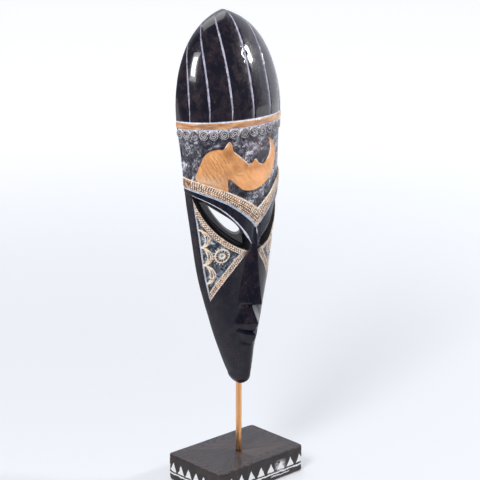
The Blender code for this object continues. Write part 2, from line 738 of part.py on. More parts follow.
def cylinder(name, radius, low, high):
    work = bmesh.new()
    bmesh.ops.create_cone(work, cap_ends=True, segments=ROUND_SIDES, radius1=radius, radius2=radius,
                          depth=high - low)
    bmesh.ops.translate(work, verts=work.verts, vec=(0.0, 0.0, (low + high) / 2))
    mesh = bpy.data.meshes.new(name)
    work.to_mesh(mesh)
    work.free()
    return mesh


def chart_place(height):
    """The chart height of a true height, both in chart units."""
    over_cap = np.clip((height - CAP_FOOT) / (CHART_HEIGHT - CAP_FOOT), 0.0, 1.0)
    return np.where(height < CAP_FOOT, height, CAP_FOOT + CAP_LENGTH * np.arcsin(over_cap) * 2 / math.pi)


def hollow_mesh():
    """The space inside the mask: the body's own section drawn in by the wall."""
    low = ROD_IN_MASK + FIT_GAP + CHIN_WOOD
    high = MASK_HEIGHT - CROWN_WOOD
    rings = []
    for share in np.sin(np.linspace(-1.0, 1.0, 19) * math.pi / 2):
        z = (low + high) / 2 + (high - low) / 2 * share
        _, half_width, front, _, back, _ = section(chart_place(z / UNIT))
        close = math.sqrt(max(1.0 - abs(share) ** 2.6, 0.0))
        wide = max((half_width * WIDTH_UNIT - MASK_WALL) * close, HOLLOW_LEAST)
        deep = max(((front - back) * DEPTH_UNIT - MASK_WALL) * close, HOLLOW_LEAST)
        rear = -back * DEPTH_UNIT
        turn = np.linspace(-math.pi / 2, math.pi / 2, 15)
        points = [(wide * math.sin(t), rear - deep * math.cos(t), z) for t in turn]
        rings.append(points + [(wide, rear + CUT_PAST, z), (-wide, rear + CUT_PAST, z)])
    return lofted("hollow", rings)


def eye_mesh(side):
    """The eye opening, a drop-shaped plug that runs in along the way the eye faces."""
    outline = eye_outline() * (side, 1.0)
    surface = body(outline[:, 0], outline[:, 1])
    facing = math.radians(EYE_FACING)
    facing = np.array([side * math.sin(facing), -math.cos(facing), 0.0])
    return lofted("eye", [surface + facing * reach for reach in (-MASK_WALL - EYE_CUT, CUT_PAST)])


def plinth_mesh():
    """A block with rounded corners, its top edge crisp and its foot edge worn round."""
    quarter = np.linspace(0.0, math.pi / 2, 4)
    worn = 1.0 - np.sin(quarter)
    levels = [(PLINTH_FOOT_EDGE * inset, PLINTH_FOOT_EDGE * up) for inset, up in zip(worn, worn[::-1])]
    levels += [(PLINTH_TOP_EDGE * inset, PLINTH_HEIGHT - PLINTH_TOP_EDGE * down)
               for inset, down in zip(worn[::-1], worn)]
    rings = []
    for inset, z in levels:
        radius = max(PLINTH_CORNER - inset, FIT_GAP)
        across = PLINTH_WIDTH / 2 - inset - radius
        along = PLINTH_DEPTH / 2 - inset - radius
        points = []
        for number, (east, north) in enumerate(((1, 1), (-1, 1), (-1, -1), (1, -1))):
            points += [(east * across + radius * math.cos(t), north * along + radius * math.sin(t), z)
                       for t in number * math.pi / 2 + quarter]
        rings.append(points)
    return lofted("plinth", rings)


def clear_scene():
    for piece in list(bpy.data.objects):
        bpy.data.objects.remove(piece)


def build():
    clear_scene()
    rod_y = -ROD_FORWARD
    chin_z = PLINTH_HEIGHT + ROD_SHOWN
    dark_wood = material("dark wood", (0.035, 0.026, 0.028), 0.35)
    plinth_wood = material("plinth wood", (0.045, 0.038, 0.042), 0.5)
    copper = material("copper", (0.86, 0.5, 0.3), 0.3, 1.0)

    mask = add_object("mask", skin_mesh(), dark_wood)
    mask.location = (0.0, rod_y, chin_z)
    hollow = cutter("hollow", hollow_mesh())
    hollow.location = mask.location
    cut(mask, hollow)
    for side in (-1, 1):
        eye = cutter("eye", eye_mesh(side))
        eye.location = mask.location
        cut(mask, eye)
    bore_radius = ROD_DIAMETER / 2 + FIT_GAP
    mask_bore = cutter("mask bore", cylinder("mask bore", bore_radius, -CUT_PAST, ROD_IN_MASK + FIT_GAP))
    mask_bore.location = mask.location
    cut(mask, mask_bore)

    rod_low = PLINTH_FLOOR + FIT_GAP
    rod = add_object("rod", cylinder("rod", ROD_DIAMETER / 2, rod_low, chin_z + ROD_IN_MASK), copper)
    rod.location = (0.0, rod_y, 0.0)

    plinth = add_object("plinth", plinth_mesh(), plinth_wood)
    plinth_bore = cutter("plinth bore", cylinder("plinth bore", bore_radius, PLINTH_FLOOR,
                                                 PLINTH_HEIGHT + CUT_PAST))
    plinth_bore.location = (0.0, rod_y, 0.0)
    cut(plinth, plinth_bore)

    for piece in (mask, rod):
        piece.data.shade_smooth()
        piece.data.set_sharp_from_angle(angle=math.radians(40))


build()
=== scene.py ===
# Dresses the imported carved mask, its rod and its plinth: fine carving, painted ornament, finishes,
# floor, light and camera.
import math

import bmesh
import bpy
import numpy as np
from mathutils import Matrix, Vector
from mathutils.geometry import delaunay_2d_cdt
from mathutils.kdtree import KDTree


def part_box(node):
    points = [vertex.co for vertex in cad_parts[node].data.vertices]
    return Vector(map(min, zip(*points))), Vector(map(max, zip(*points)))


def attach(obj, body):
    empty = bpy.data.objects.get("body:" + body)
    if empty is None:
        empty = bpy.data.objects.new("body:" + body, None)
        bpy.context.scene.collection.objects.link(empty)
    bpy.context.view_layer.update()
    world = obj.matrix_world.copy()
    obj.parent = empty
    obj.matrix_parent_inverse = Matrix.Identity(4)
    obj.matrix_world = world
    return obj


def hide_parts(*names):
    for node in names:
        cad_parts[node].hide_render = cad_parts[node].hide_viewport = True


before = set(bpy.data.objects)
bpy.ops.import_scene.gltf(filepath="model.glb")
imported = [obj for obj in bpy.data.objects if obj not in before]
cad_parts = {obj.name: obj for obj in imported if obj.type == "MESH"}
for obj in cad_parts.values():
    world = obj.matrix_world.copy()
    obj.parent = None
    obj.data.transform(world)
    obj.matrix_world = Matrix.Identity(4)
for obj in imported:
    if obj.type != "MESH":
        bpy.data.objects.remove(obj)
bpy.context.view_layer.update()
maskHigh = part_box("mask")[1]
rodLow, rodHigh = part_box("rod")
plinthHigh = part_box("plinth")[1]
rodX, rodY = (rodLow.x + rodHigh.x) / 2, (rodLow.y + rodHigh.y) / 2

# The mask's skin is laid flat on a chart in millimetres and rolled round the body. On the chart x runs
# round the face from its middle line and y runs up from the chin, following the surface over the cap.
chartHeight = 314.0
mm = 0.001
chinPlace = np.array([rodX, rodY, maskHigh.z - chartHeight * mm])

bodyShape = {
    # height, half width and reach of the front, from the chin to the band
    "sections": np.array([(10.0, 7.6, 11.4), (28.0, 15.0, 11.5), (44.0, 21.0, 12.6), (66.0, 28.0, 13.3),
                          (95.0, 36.2, 13.9), (137.0, 42.6, 17.9), (164.0, 46.2, 20.0),
                          (200.0, 49.3, 20.0), (237.0, 53.0, 18.4)]),
    "chinStart": -4.0, "chinMiddle": 1.4, "chinRoundness": 1.05,
    "capLength": 97.0, "capTipFront": -19.5, "capSlope": 0.235, "capEase": 0.05, "capLean": 0.8,
    "capRoundness": 1.08, "capPoint": 0.5,
    "backAtChin": 7.6, "backLean": 0.047, "rimTurn": 3.0, "chinTurn": 10.0, "chinTurnHeight": 8.0,
}
chinTop, capFoot = bodyShape["sections"][0, 0], bodyShape["sections"][-1, 0]
capEnd = capFoot + bodyShape["capLength"]

carving = {
    "edge": 0.7, "groundDepth": 1.0, "borderRise": 0.6, "browRise": 0.5, "bandRise": 0.4,
    "animalRise": 1.6, "animalSwell": 1.2, "curlRise": 1.0, "socketDepth": 5.0, "socketWall": 1.5,
    "lidRise": 3.2, "lineDepth": 0.6,
}

capLook = {"linePitch": 17.5, "lineWidth": 1.45, "bandFoot": 223.9, "bandTop": 228.8}
curlLook = {"pitch": 8.2, "radius": 4.5, "eye": 1.7, "height": 219.2}
borderLook = {
    # height at the middle, rise to the side, spread
    "top": (157.0, 32.0, 34.0), "foot": (140.8, 38.0, 27.0), "brow": (123.5, 51.0, 23.5),
    "browMiddle": 1.5, "reach": 66.5,
    "swell": 2.9, "swellReach": 20.0, "swellFoot": (112.0, 128.0), "swellTop": (160.0, 188.0),
}
eyeLook = {
    "outer": (40.8, 162.3), "inner": (12.6, 136.2), "halfWidth": 4.3, "facing": 40.0,
    "socketInner": (3.6, 119.8), "socketBend": (36.9, 136.8), "socketOuter": (54.0, 167.0),
    "lidInner": (6.0, 123.6), "lidBend": (33.5, 141.4), "lidOuter": (49.8, 164.2),
}
cheekLook = {
    "foot": (34.0, 77.4), "line": 5.0, "dots": 4.3, "arcWidth": 2.6, "arcReach": 9.4,
    "arcJoints": (140.4, 125.4, 110.2, 93.8), "rosette": (24.2, 118.0), "rosetteRadius": 6.4,
    "rosetteEye": 2.4,
}
noseLook = {"tip": 76.3, "root": 159.0, "reach": 14.8, "turn": 127.0, "bridge": 3.2, "spread": 0.136,
            "nostril": 71.0}
mouthLook = {
    "height": 49.8, "halfWidth": 14.5, "cornerRise": 5.2, "reach": 6.2, "crest": 58.2, "crestReach": 11.0,
    "drop": 3.0, "fall": 1.65, "roll": 2.4, "swell": 6.0, "cut": 1.6, "open": 2.0, "ridgeHeight": 70.0,
    "ridgeReach": 3.9, "ridgeHalfWidth": 4.0,
}


def smooth(value, low, high):
    t = np.clip((np.asarray(value, float) - low) / (high - low), 0.0, 1.0)
    return t * t * (3.0 - 2.0 * t)


def through(knots, values, where):
    # a smooth curve through the values at the knots
    steps = np.diff(knots)
    slopes = np.diff(values) / steps
    tangents = np.zeros(len(knots))
    tangents[1:-1] = (slopes[:-1] * steps[1:] + slopes[1:] * steps[:-1]) / (steps[:-1] + steps[1:])
    tangents[0] = slopes[0]
    i = np.clip(np.searchsorted(knots, where) - 1, 0, len(knots) - 2)
    h, t = steps[i], (where - knots[i]) / steps[i]
    start = (1 + 2 * t) * (1 - t) ** 2 * values[i] + t * (1 - t) ** 2 * h * tangents[i]
    return start + t * t * (3 - 2 * t) * values[i + 1] + t * t * (t - 1) * h * tangents[i + 1]


def section(y):
    # height, half width, front, side, back and chart radius of the body at a chart height
    s = bodyShape
    y = np.asarray(y, float)
    overCap = np.clip((y - capFoot) / s["capLength"], 0.0, 1.0) * math.pi / 2
    underChin = np.clip((y - s["chinStart"]) / (chinTop - s["chinStart"]), 0.0, 1.0) * math.pi / 2
    cap, chin = y > capFoot, y < chinTop
    height = np.where(cap, capFoot + (chartHeight - capFoot) * np.sin(overCap), y)
    height = np.where(chin, chinTop * (1.0 - np.cos(underChin)), height)
    level = np.clip(height, chinTop, capFoot)
    halfWidth = through(s["sections"][:, 0], s["sections"][:, 1], level)
    front = through(s["sections"][:, 0], s["sections"][:, 2], level)
    back = -(s["backAtChin"] + s["backLean"] * height)
    side = back + s["rimTurn"] + s["chinTurn"] * np.exp(-(height / s["chinTurnHeight"]) ** 2)
    radius = (halfWidth + front - side) / 2
    shrink = np.cos(overCap)
    tip = s["capTipFront"]
    halfWidth = np.where(cap, halfWidth * shrink ** (s["capRoundness"] + s["capPoint"] * (1 - shrink) ** 2),
                         halfWidth)
    above = np.sin(overCap)
    setBack = shrink * (1.0 - s["capSlope"] * (above ** 2 / (above + s["capEase"])) ** s["capLean"])
    front = np.where(cap, tip + (front - tip) * setBack, front)
    side = np.where(cap, tip + (side - tip) * np.sqrt(shrink), side)
    back = np.where(cap, tip + (back - tip) * np.sqrt(shrink), back)
    radius = np.where(cap, radius * shrink, radius)
    grow = np.where(chin, np.sin(underChin) ** s["chinRoundness"], 1.0)
    middle = s["chinMiddle"]
    front, side, back = (middle + (reach - middle) * grow for reach in (front, side, back))
    return height, halfWidth * grow, front, side, back, radius


def body(x, y):
    # points of the uncarved body, in metres over the chin
    height, halfWidth, front, side, back, radius = section(y)
    turn = x / np.maximum(radius, 1e-6)
    turn = np.where(np.abs(turn) > math.pi - 0.001, np.copysign(math.pi, turn), turn)
    across, ahead = np.sin(turn), np.cos(turn)
    facing = ahead >= 0
    wide = np.where(facing, across, np.sign(across) * np.sqrt(np.abs(across)))
    reach = np.where(facing, (front - side) * ahead, -(side - back) * np.sqrt(np.abs(ahead)))
    return np.stack([halfWidth * wide, -(side + reach), height], -1) * mm


def bodyNormals(x, y):
    step = 0.25
    y = np.clip(y, bodyShape["chinStart"] + step, capEnd - step)
    around = body(x + step, y) - body(x - step, y)
    turn = x / np.maximum(section(y)[5], 1e-6)
    upper, lower = y + step, y - step
    upward = body(turn * section(upper)[5], upper) - body(turn * section(lower)[5], lower)
    normal = np.cross(around, upward)
    return normal / np.maximum(np.linalg.norm(normal, axis=-1, keepdims=True), 1e-12)


# Lines and outlines on the chart
def bend(start, control, end, count):
    t = np.linspace(0.0, 1.0, count)[:, None]
    start, control, end = map(np.asarray, (start, control, end))
    return (1 - t) ** 2 * start + 2 * t * (1 - t) * control + t * t * end


def rounded(points, closed, count):
    # a smooth line through given points
    points = np.asarray(points, float)
    total = len(points)
    line = []
    for i in range(total if closed else total - 1):
        picks = [i - 1, i, i + 1, i + 2]
        picks = [k % total if closed else min(max(k, 0), total - 1) for k in picks]
        a, b, c, d = points[picks]
        for t in np.arange(count) / count:
            line.append(0.5 * (2 * b + (c - a) * t + (2 * a - 5 * b + 4 * c - d) * t * t
                               + (3 * b - a - 3 * c + d) * t ** 3))
    if not closed:
        line.append(points[-1])
    return np.array(line)


def mirrored(line):
    return np.asarray(line) * (-1.0, 1.0)


def offset(line, distance, closed=True):
    # moved to the left of its direction
    line = np.asarray(line, float)
    if closed:
        before, after = np.roll(line, 1, 0), np.roll(line, -1, 0)
    else:
        before, after = np.vstack([line[:1], line[:-1]]), np.vstack([line[1:], line[-1:]])
    along = after - before
    along /= np.maximum(np.linalg.norm(along, axis=1, keepdims=True), 1e-9)
    return line + np.reshape(distance, (-1, 1)) * np.stack([-along[:, 1], along[:, 0]], 1)


def anticlockwise(outline):
    x, y = np.asarray(outline).T
    turned = np.sum(x * np.roll(y, -1) - y * np.roll(x, -1)) < 0
    return outline[::-1] if turned else outline


def spaced(line, step, closed=False):
    line = np.asarray(line, float)
    if closed:
        line = np.vstack([line, line[:1]])
    lengths = np.concatenate([[0.0], np.cumsum(np.linalg.norm(np.diff(line, axis=0), axis=1))])
    count = max(int(round(lengths[-1] / step)), 1)
    marks = np.linspace(0.0, lengths[-1], count + 1)
    made = np.stack([np.interp(marks, lengths, line[:, k]) for k in (0, 1)], 1)
    return made[:-1] if closed else made


def ring(centre, radius, count):
    angle = np.arange(count) * 2 * math.pi / count
    return np.stack([centre[0] + radius * np.cos(angle), centre[1] + radius * np.sin(angle)], 1)


def nearest(x, y, starts, ends, reach):
    # distance to the nearest of these segments, for places within reach of them
    out = np.full(np.shape(x), 1e3)
    low = np.minimum(starts, ends).min(0) - reach
    high = np.maximum(starts, ends).max(0) + reach
    near = np.nonzero((x > low[0]) & (x < high[0]) & (y > low[1]) & (y < high[1]))[0]
    px, py = x[near], y[near]
    found = np.full(len(near), 1e3)
    for (ax, ay), (bx, by) in zip(starts, ends):
        dx, dy = bx - ax, by - ay
        t = np.clip(((px - ax) * dx + (py - ay) * dy) / max(dx * dx + dy * dy, 1e-12), 0.0, 1.0)
        found = np.minimum(found, np.hypot(px - ax - t * dx, py - ay - t * dy))
    out[near] = found
    return out


def lineDistance(x, y, line, reach):
    return nearest(x, y, line[:-1], line[1:], reach)


def isInside(x, y, outline):
    starts, ends = np.asarray(outline), np.roll(outline, -1, 0)
    out = np.zeros(np.shape(x), bool)
    low, high = starts.min(0), starts.max(0)
    near = np.nonzero((x > low[0]) & (x < high[0]) & (y > low[1]) & (y < high[1]))[0]
    px, py = x[near], y[near]
    within = np.zeros(len(near), bool)
    for (ax, ay), (bx, by) in zip(starts, ends):
        if ay != by:
            within ^= ((ay > py) != (by > py)) & (px < (bx - ax) * (py - ay) / (by - ay) + ax)
    out[near] = within
    return out


def depthInside(x, y, outline):
    distance = nearest(x, y, np.asarray(outline), np.roll(outline, -1, 0), 1.0)
    return np.where(isInside(x, y, outline), distance, -distance)


def raised(x, y, outline, edge=carving["edge"]):
    return np.clip(depthInside(x, y, outline) / edge, 0.0, 1.0)


def rimReach(y):
    return section(y)[5] * math.radians(98.0)


def swept(x, curve):
    middle, rise, spread = curve
    return middle + rise * (1.0 - np.exp(-x / spread))


def borderTop(x):
    return swept(np.abs(x), borderLook["top"])


def borderFoot(x):
    return swept(np.abs(x), borderLook["foot"])


def browFoot(x):
    return swept(np.abs(x) - borderLook["browMiddle"], borderLook["brow"])


def browFootReach(y):
    middle, rise, spread = borderLook["brow"]
    share = np.clip((np.asarray(y, float) - middle) / rise, 0.0, 0.97)
    return borderLook["browMiddle"] - spread * np.log(1.0 - share)


def borderShare(x, share):
    # a line that runs along the forehead's V, a share of the way up its border
    return borderFoot(x) + (borderTop(x) - borderFoot(x)) * share


def borderOutline():
    x = np.linspace(-1, 1, 121)
    x = np.sign(x) * np.abs(x) ** 1.2 * borderLook["reach"]
    foot, top = np.stack([x, borderFoot(x)], 1), np.stack([x, borderTop(x)], 1)
    return anticlockwise(np.vstack([foot, top[::-1]]))


def groundOutline():
    x = np.linspace(-borderLook["reach"], borderLook["reach"], 120)
    high = capLook["bandFoot"]
    reach = rimReach(high)
    top = np.stack([np.linspace(-reach, reach, 120), np.full(120, high)], 1)
    return anticlockwise(np.vstack([np.stack([x, borderTop(x)], 1), top[::-1]]))


def browOutline():
    x = np.linspace(-borderLook["reach"], borderLook["reach"], 161)
    foot = np.stack([x, np.where(np.abs(x) > 2.9, browFoot(x), browFoot(2.9))], 1)
    return anticlockwise(np.vstack([foot, np.stack([x, borderFoot(x)], 1)[::-1]]))


def socketFoot(count=60):
    return bend(eyeLook["socketInner"], eyeLook["socketBend"], eyeLook["socketOuter"], count)


def socketOutline():
    x = np.linspace(54.0, 4.6, 60)
    return anticlockwise(np.vstack([socketFoot(), np.stack([x, browFoot(x)], 1)]))


def lidOutline():
    lower = bend(eyeLook["lidInner"], eyeLook["lidBend"], eyeLook["lidOuter"], 50)
    upper = rounded([eyeLook["lidOuter"], (41.0, 164.3), (27.6, 156.8), (13.8, 145.8), (8.4, 136.4),
                     eyeLook["lidInner"]], False, 12)
    return anticlockwise(np.vstack([lower[:-1], upper[:-1]]))


def eyeOutline():
    outer, inner = np.array(eyeLook["outer"]), np.array(eyeLook["inner"])
    axis = inner - outer
    across = np.array([-axis[1], axis[0]]) / np.linalg.norm(axis)
    share = 0.5 - 0.5 * np.cos(np.linspace(0.0, math.pi, 40))
    opening = np.sin(np.minimum(share / 0.8, 1.0) * math.pi / 2) * np.sqrt(1.0 - share ** 9)
    wide = eyeLook["halfWidth"] * opening
    centre = outer + share[:, None] * axis
    upper, lower = centre + across * wide[:, None], centre - across * wide[:, None]
    return anticlockwise(np.vstack([upper, lower[-2:0:-1]]))


def cheekSide(y):
    low, high = cheekLook["foot"], eyeLook["socketOuter"]
    return low[0] + (y - low[1]) / (high[1] - low[1]) * (high[0] - low[0])


def cheekSlope(count=50):
    return np.linspace(cheekLook["foot"], eyeLook["socketInner"], count)


def cheekPanel():
    y = np.linspace(eyeLook["socketOuter"][1], cheekLook["foot"][1], 60)
    side = np.stack([cheekSide(y), y], 1)
    return anticlockwise(np.vstack([socketFoot()[:-1], side[:-1], cheekSlope()[:-1]]))


def cheekGround():
    top = offset(socketFoot(80), -cheekLook["dots"], False)
    top = top[(top[:, 0] > 10.5) & (top[:, 0] < cheekSide(top[:, 1]) - 1.6)]
    slope = offset(cheekSlope(80), -cheekLook["line"], False)
    slope = slope[(slope[:, 0] > 10.5) & (slope[:, 0] < cheekSide(slope[:, 1]) - 1.6)]
    return anticlockwise(np.vstack([top, slope]))


def cheekArcs(reach):
    # centre lines of the three scallops along the side of the cheek panel
    arcs = []
    for high, low in zip(cheekLook["arcJoints"], cheekLook["arcJoints"][1:]):
        sweep = np.linspace(-math.pi / 2, math.pi / 2, 31)
        y = (high + low) / 2 + (high - low) / 2 * np.sin(sweep)
        arcs.append(np.stack([cheekSide(y) - 0.6 - reach * np.cos(sweep), y], 1))
    return arcs


def stripOutline(line, width):
    width = np.asarray(width, float)
    return anticlockwise(np.vstack([offset(line, width / 2, False), offset(line, -width / 2, False)[::-1]]))


def curlCentres():
    count = int((rimReach(curlLook["height"]) - curlLook["radius"]) // curlLook["pitch"])
    return [(i * curlLook["pitch"], curlLook["height"]) for i in range(-count, count + 1)]


def capLinePlaces():
    count = int(rimReach(capFoot) // capLook["linePitch"])
    return [i * capLook["linePitch"] for i in range(-count, count + 1)]


def capLineTop(x):
    y = np.linspace(capFoot, capEnd, 200)
    return y[np.argmax(rimReach(y) < max(abs(x), 6.0))]


def animalOutline():
    # a rhinoceros head in profile
    neck = [(-50.2, 183.0), (-48.1, 190.0), (-45.0, 196.4), (-41.8, 202.0), (-37.0, 206.0),
            (-31.0, 207.4)]
    ear = [(-25.4, 207.6), (-22.7, 210.7), (-20.4, 213.2), (-18.6, 210.8), (-17.6, 205.2)]
    brow = [(-13.2, 200.8), (-9.3, 196.8), (-5.5, 193.4)]
    smallHorn = [(-2.1, 194.4), (0.9, 196.6), (3.9, 192.9), (7.2, 191.4)]
    horn = [(10.4, 192.0), (14.6, 195.6), (17.4, 200.2), (17.8, 205.0), (16.6, 209.4), (14.2, 212.6),
            (19.4, 209.0), (22.8, 202.4), (23.4, 195.4)]
    snout = [(21.8, 188.8), (18.4, 183.2), (12.0, 178.0), (4.7, 174.1), (-2.2, 171.9), (-10.4, 172.6)]
    jaw = [(-14.6, 176.0), (-18.4, 179.7), (-21.8, 182.6), (-22.6, 178.2), (-22.9, 172.6)]
    foot = [(-32.0, 176.4), (-42.0, 179.4)]
    return anticlockwise(rounded(neck + ear + brow + smallHorn + horn + snout + jaw + foot, True, 6))


def noseHalfWidth(y):
    y = np.asarray(y, float)
    belowBrow = noseLook["bridge"] + noseLook["spread"] * (noseLook["turn"] - y)
    return np.where(y < noseLook["turn"], belowBrow, np.maximum(browFootReach(y), noseLook["bridge"]))


def noseRelief(x, y):
    n = noseLook
    reach = n["reach"] * np.clip((n["root"] - y) / (n["root"] - n["tip"]), 0.0, 1.0)
    flank = np.clip(1.0 - np.abs(x) / noseHalfWidth(np.maximum(y, n["nostril"])), 0.0, 1.0) ** 1.15
    return reach * flank * smooth(y, n["nostril"], n["tip"])


def browSwell(x, y):
    # the forehead stands forward over the nose and between the eyes
    b = borderLook
    rise = smooth(y, *b["swellFoot"]) * (1.0 - smooth(y, *b["swellTop"]))
    return b["swell"] * rise * np.exp(-(x / b["swellReach"]) ** 4)


def mouthLine(x):
    return mouthLook["height"] + mouthLook["cornerRise"] * (x / mouthLook["halfWidth"]) ** 2


def lipCrest(x):
    return mouthLook["crest"] - mouthLook["drop"] * (x / mouthLook["halfWidth"]) ** 2


def wedge(x, halfWidth):
    return np.clip(1.0 - np.abs(x) / halfWidth, 0.0, 1.0) ** mouthLook["fall"]


def mouthRelief(x, y):
    m = mouthLook
    mouth, crest = mouthLine(x), lipCrest(x)
    ridgeWidth = np.interp(y, [m["crest"], noseLook["tip"]], [m["halfWidth"], m["ridgeHalfWidth"]])
    ridge = np.interp(y, [m["crest"], m["ridgeHeight"], noseLook["tip"]],
                      [m["crestReach"], m["ridgeReach"], 0.0])
    rise = np.clip((y - mouth) / np.maximum(crest - mouth, carving["edge"]), 0.0, 1.0)
    upperLip = m["reach"] + (m["crestReach"] - m["reach"]) * rise
    corner = np.clip(1.0 - (x / m["halfWidth"]) ** 2, 0.0, 1.0)
    parted = np.interp(y - mouth, [-m["roll"], 0.0, m["open"]], [0.0, m["cut"], 0.0]) * corner
    under = mouth - y
    lowerLip = np.interp(under, [0.0, m["roll"], m["swell"], 12.0, 18.0], [m["reach"], 8.6, 7.2, 3.2, 0.0])
    lowerWidth = np.interp(under, [0.0, 12.0], [m["halfWidth"], 8.0])
    lips = np.where(y < mouth, lowerLip * wedge(x, lowerWidth), upperLip * wedge(x, m["halfWidth"]))
    return np.where(y >= crest, ridge * wedge(x, ridgeWidth), lips) - parted


def chinKeel(x, y):
    height = np.interp(y, [2.0, 14.0, 26.0, 38.0, 46.0], [0.0, 1.8, 3.2, 3.8, 0.0])
    return height * np.exp(-(x / 6.0) ** 2)


def ripples(x, y, size, seed):
    # a gentle unevenness left by the knife, about one high
    draw = np.random.default_rng(seed)
    out = np.zeros(np.shape(x))
    for _ in range(14):
        angle, phase, scale = draw.uniform(0, math.pi), draw.uniform(0, 2 * math.pi), draw.uniform(0.7, 1.8)
        out += np.sin((x * math.cos(angle) + y * math.sin(angle)) * 2 * math.pi / (size * scale) + phase)
    return out / 5.0


# Painted lines: material, centre line, width along it, depth of the cut
def inkWidth(line, width, taper, seed):
    # the width of a hand-drawn line: it wavers, and thins out over the taper at each end
    steps = np.linalg.norm(np.diff(line, axis=0), axis=1)
    run = np.concatenate([[0.0], np.cumsum(steps)])
    draw = np.random.default_rng(seed)
    waver = sum(draw.uniform(0.04, 0.1) * np.sin(run / pitch + draw.uniform(0, 6.28))
                for pitch in (0.9, 2.1, 4.7))
    end = np.minimum(run, run[-1] - run) / max(taper, 1e-3)
    return width * (1.0 + waver) * np.clip(0.25 + 0.75 * end, 0.25, 1.0)


def paintedLines():
    lines = []

    def draw(finish, line, width, cut=0.35, taper=1.0, both=False):
        for side in ((1, -1) if both else (1,)):
            path = spaced(np.asarray(line) * (side, 1.0), 0.9)
            seed = len(lines)
            lines.append((finish, path, inkWidth(path, width, taper, seed), cut))

    for place in capLinePlaces():
        draw("capPaint", [(place, capLook["bandTop"] + 0.6), (place, capLineTop(place))],
             capLook["lineWidth"], carving["lineDepth"], 16.0)
    for cx, cy in curlCentres():
        top = np.radians(np.linspace(24.0, 156.0, 14))
        draw("scallopPaint", np.stack([cx + 4.3 * np.cos(top), cy + 4.3 * np.sin(top)], 1), 1.0, 0.0)
    for height, width in ((capLook["bandTop"] + 0.5, 1.1), (capLook["bandFoot"] - 0.4, 0.9)):
        reach = rimReach(height) * 0.985
        draw("whitePaint", [(-reach, height), (reach, height)], width, 0.2)
    x = np.linspace(-borderLook["reach"], borderLook["reach"], 200)
    draw("creamPaint", np.stack([x, borderTop(x) - 0.6], 1), 0.9, 0.2)
    draw("bluePaint", np.stack([x, borderFoot(x)], 1), 1.3)
    x = np.linspace(3.0, 54.5, 90)
    draw("whitePaint", np.stack([x, browFoot(x) + 0.2], 1), 0.95, both=True, taper=9.0)
    draw("whitePaint", [(0.0, 140.6), (0.3, 134.6)], 0.8, taper=3.0)
    edge = animalOutline()
    # painted highlight along the edges that face the light: ear, forehead, small horn and the hollow side of
    # the horn
    for low, high, foot, top, run in ((-25.2, -20.0, 190.5, 215.0, 0), (-17.8, -3.0, 190.5, 215.0, 0),
                                      (-1.0, 8.0, 190.5, 215.0, 0), (12.0, 18.2, 193.0, 209.5, 1)):
        part = edge[(edge[:, 0] > low) & (edge[:, 0] < high) & (edge[:, 1] > foot) & (edge[:, 1] < top)]
        draw("edgeHighlightPaint", part[np.argsort(part[:, run])], 0.7, 0.0, taper=2.0)
    y = np.linspace(eyeLook["socketOuter"][1] - 3.0, cheekLook["foot"][1] + 1.0, 60)
    draw("bluePaint", np.stack([cheekSide(y) - 0.5, y], 1), 0.9, both=True, taper=4.0)
    for inset, finish, width in ((0.3, "creamPaint", 0.6), (cheekLook["line"] - 0.3, "creamPaint", 0.6)):
        slope = offset(cheekSlope(), -inset, False)
        slope = slope[(slope[:, 0] > 7.4) & (slope[:, 0] < cheekSide(slope[:, 1]) - 0.9)]
        draw(finish, slope, width, 0.2, both=True)
    for reach in (cheekLook["arcReach"] - 1.05, cheekLook["arcReach"] + 1.05):
        for arc in cheekArcs(reach):
            draw("creamPaint", arc, 0.95, 0.0, both=True)
    return lines


def hatchLines():
    # shallow strokes on the animal's neck, and the fold of its ear
    lines = []
    draw = np.random.default_rng(5)
    for row, (count, left, top) in enumerate(((7, -45.5, 195.5), (8, -43.0, 187.5), (7, -37.0, 201.5))):
        for i in range(count):
            start = np.array([left + 2.7 * i + draw.uniform(-0.6, 0.6),
                              top + 0.4 * i + draw.uniform(-1.6, 1.2)])
            end = start + (3.6 + row * 0.3, -draw.uniform(5.5, 8.5))
            lines.append((start, (start + end) / 2 + (0.6, 0.4), end))
    lines.append(((-22.2, 201.0), (-22.4, 205.6), (-20.4, 209.6)))
    lines.append(((-19.6, 193.4), (-17.2, 194.0), (-14.6, 191.8)))
    return [spaced(bend(*points, 12), 0.8) for points in lines]


animalEye = (-13.9, 186.8)


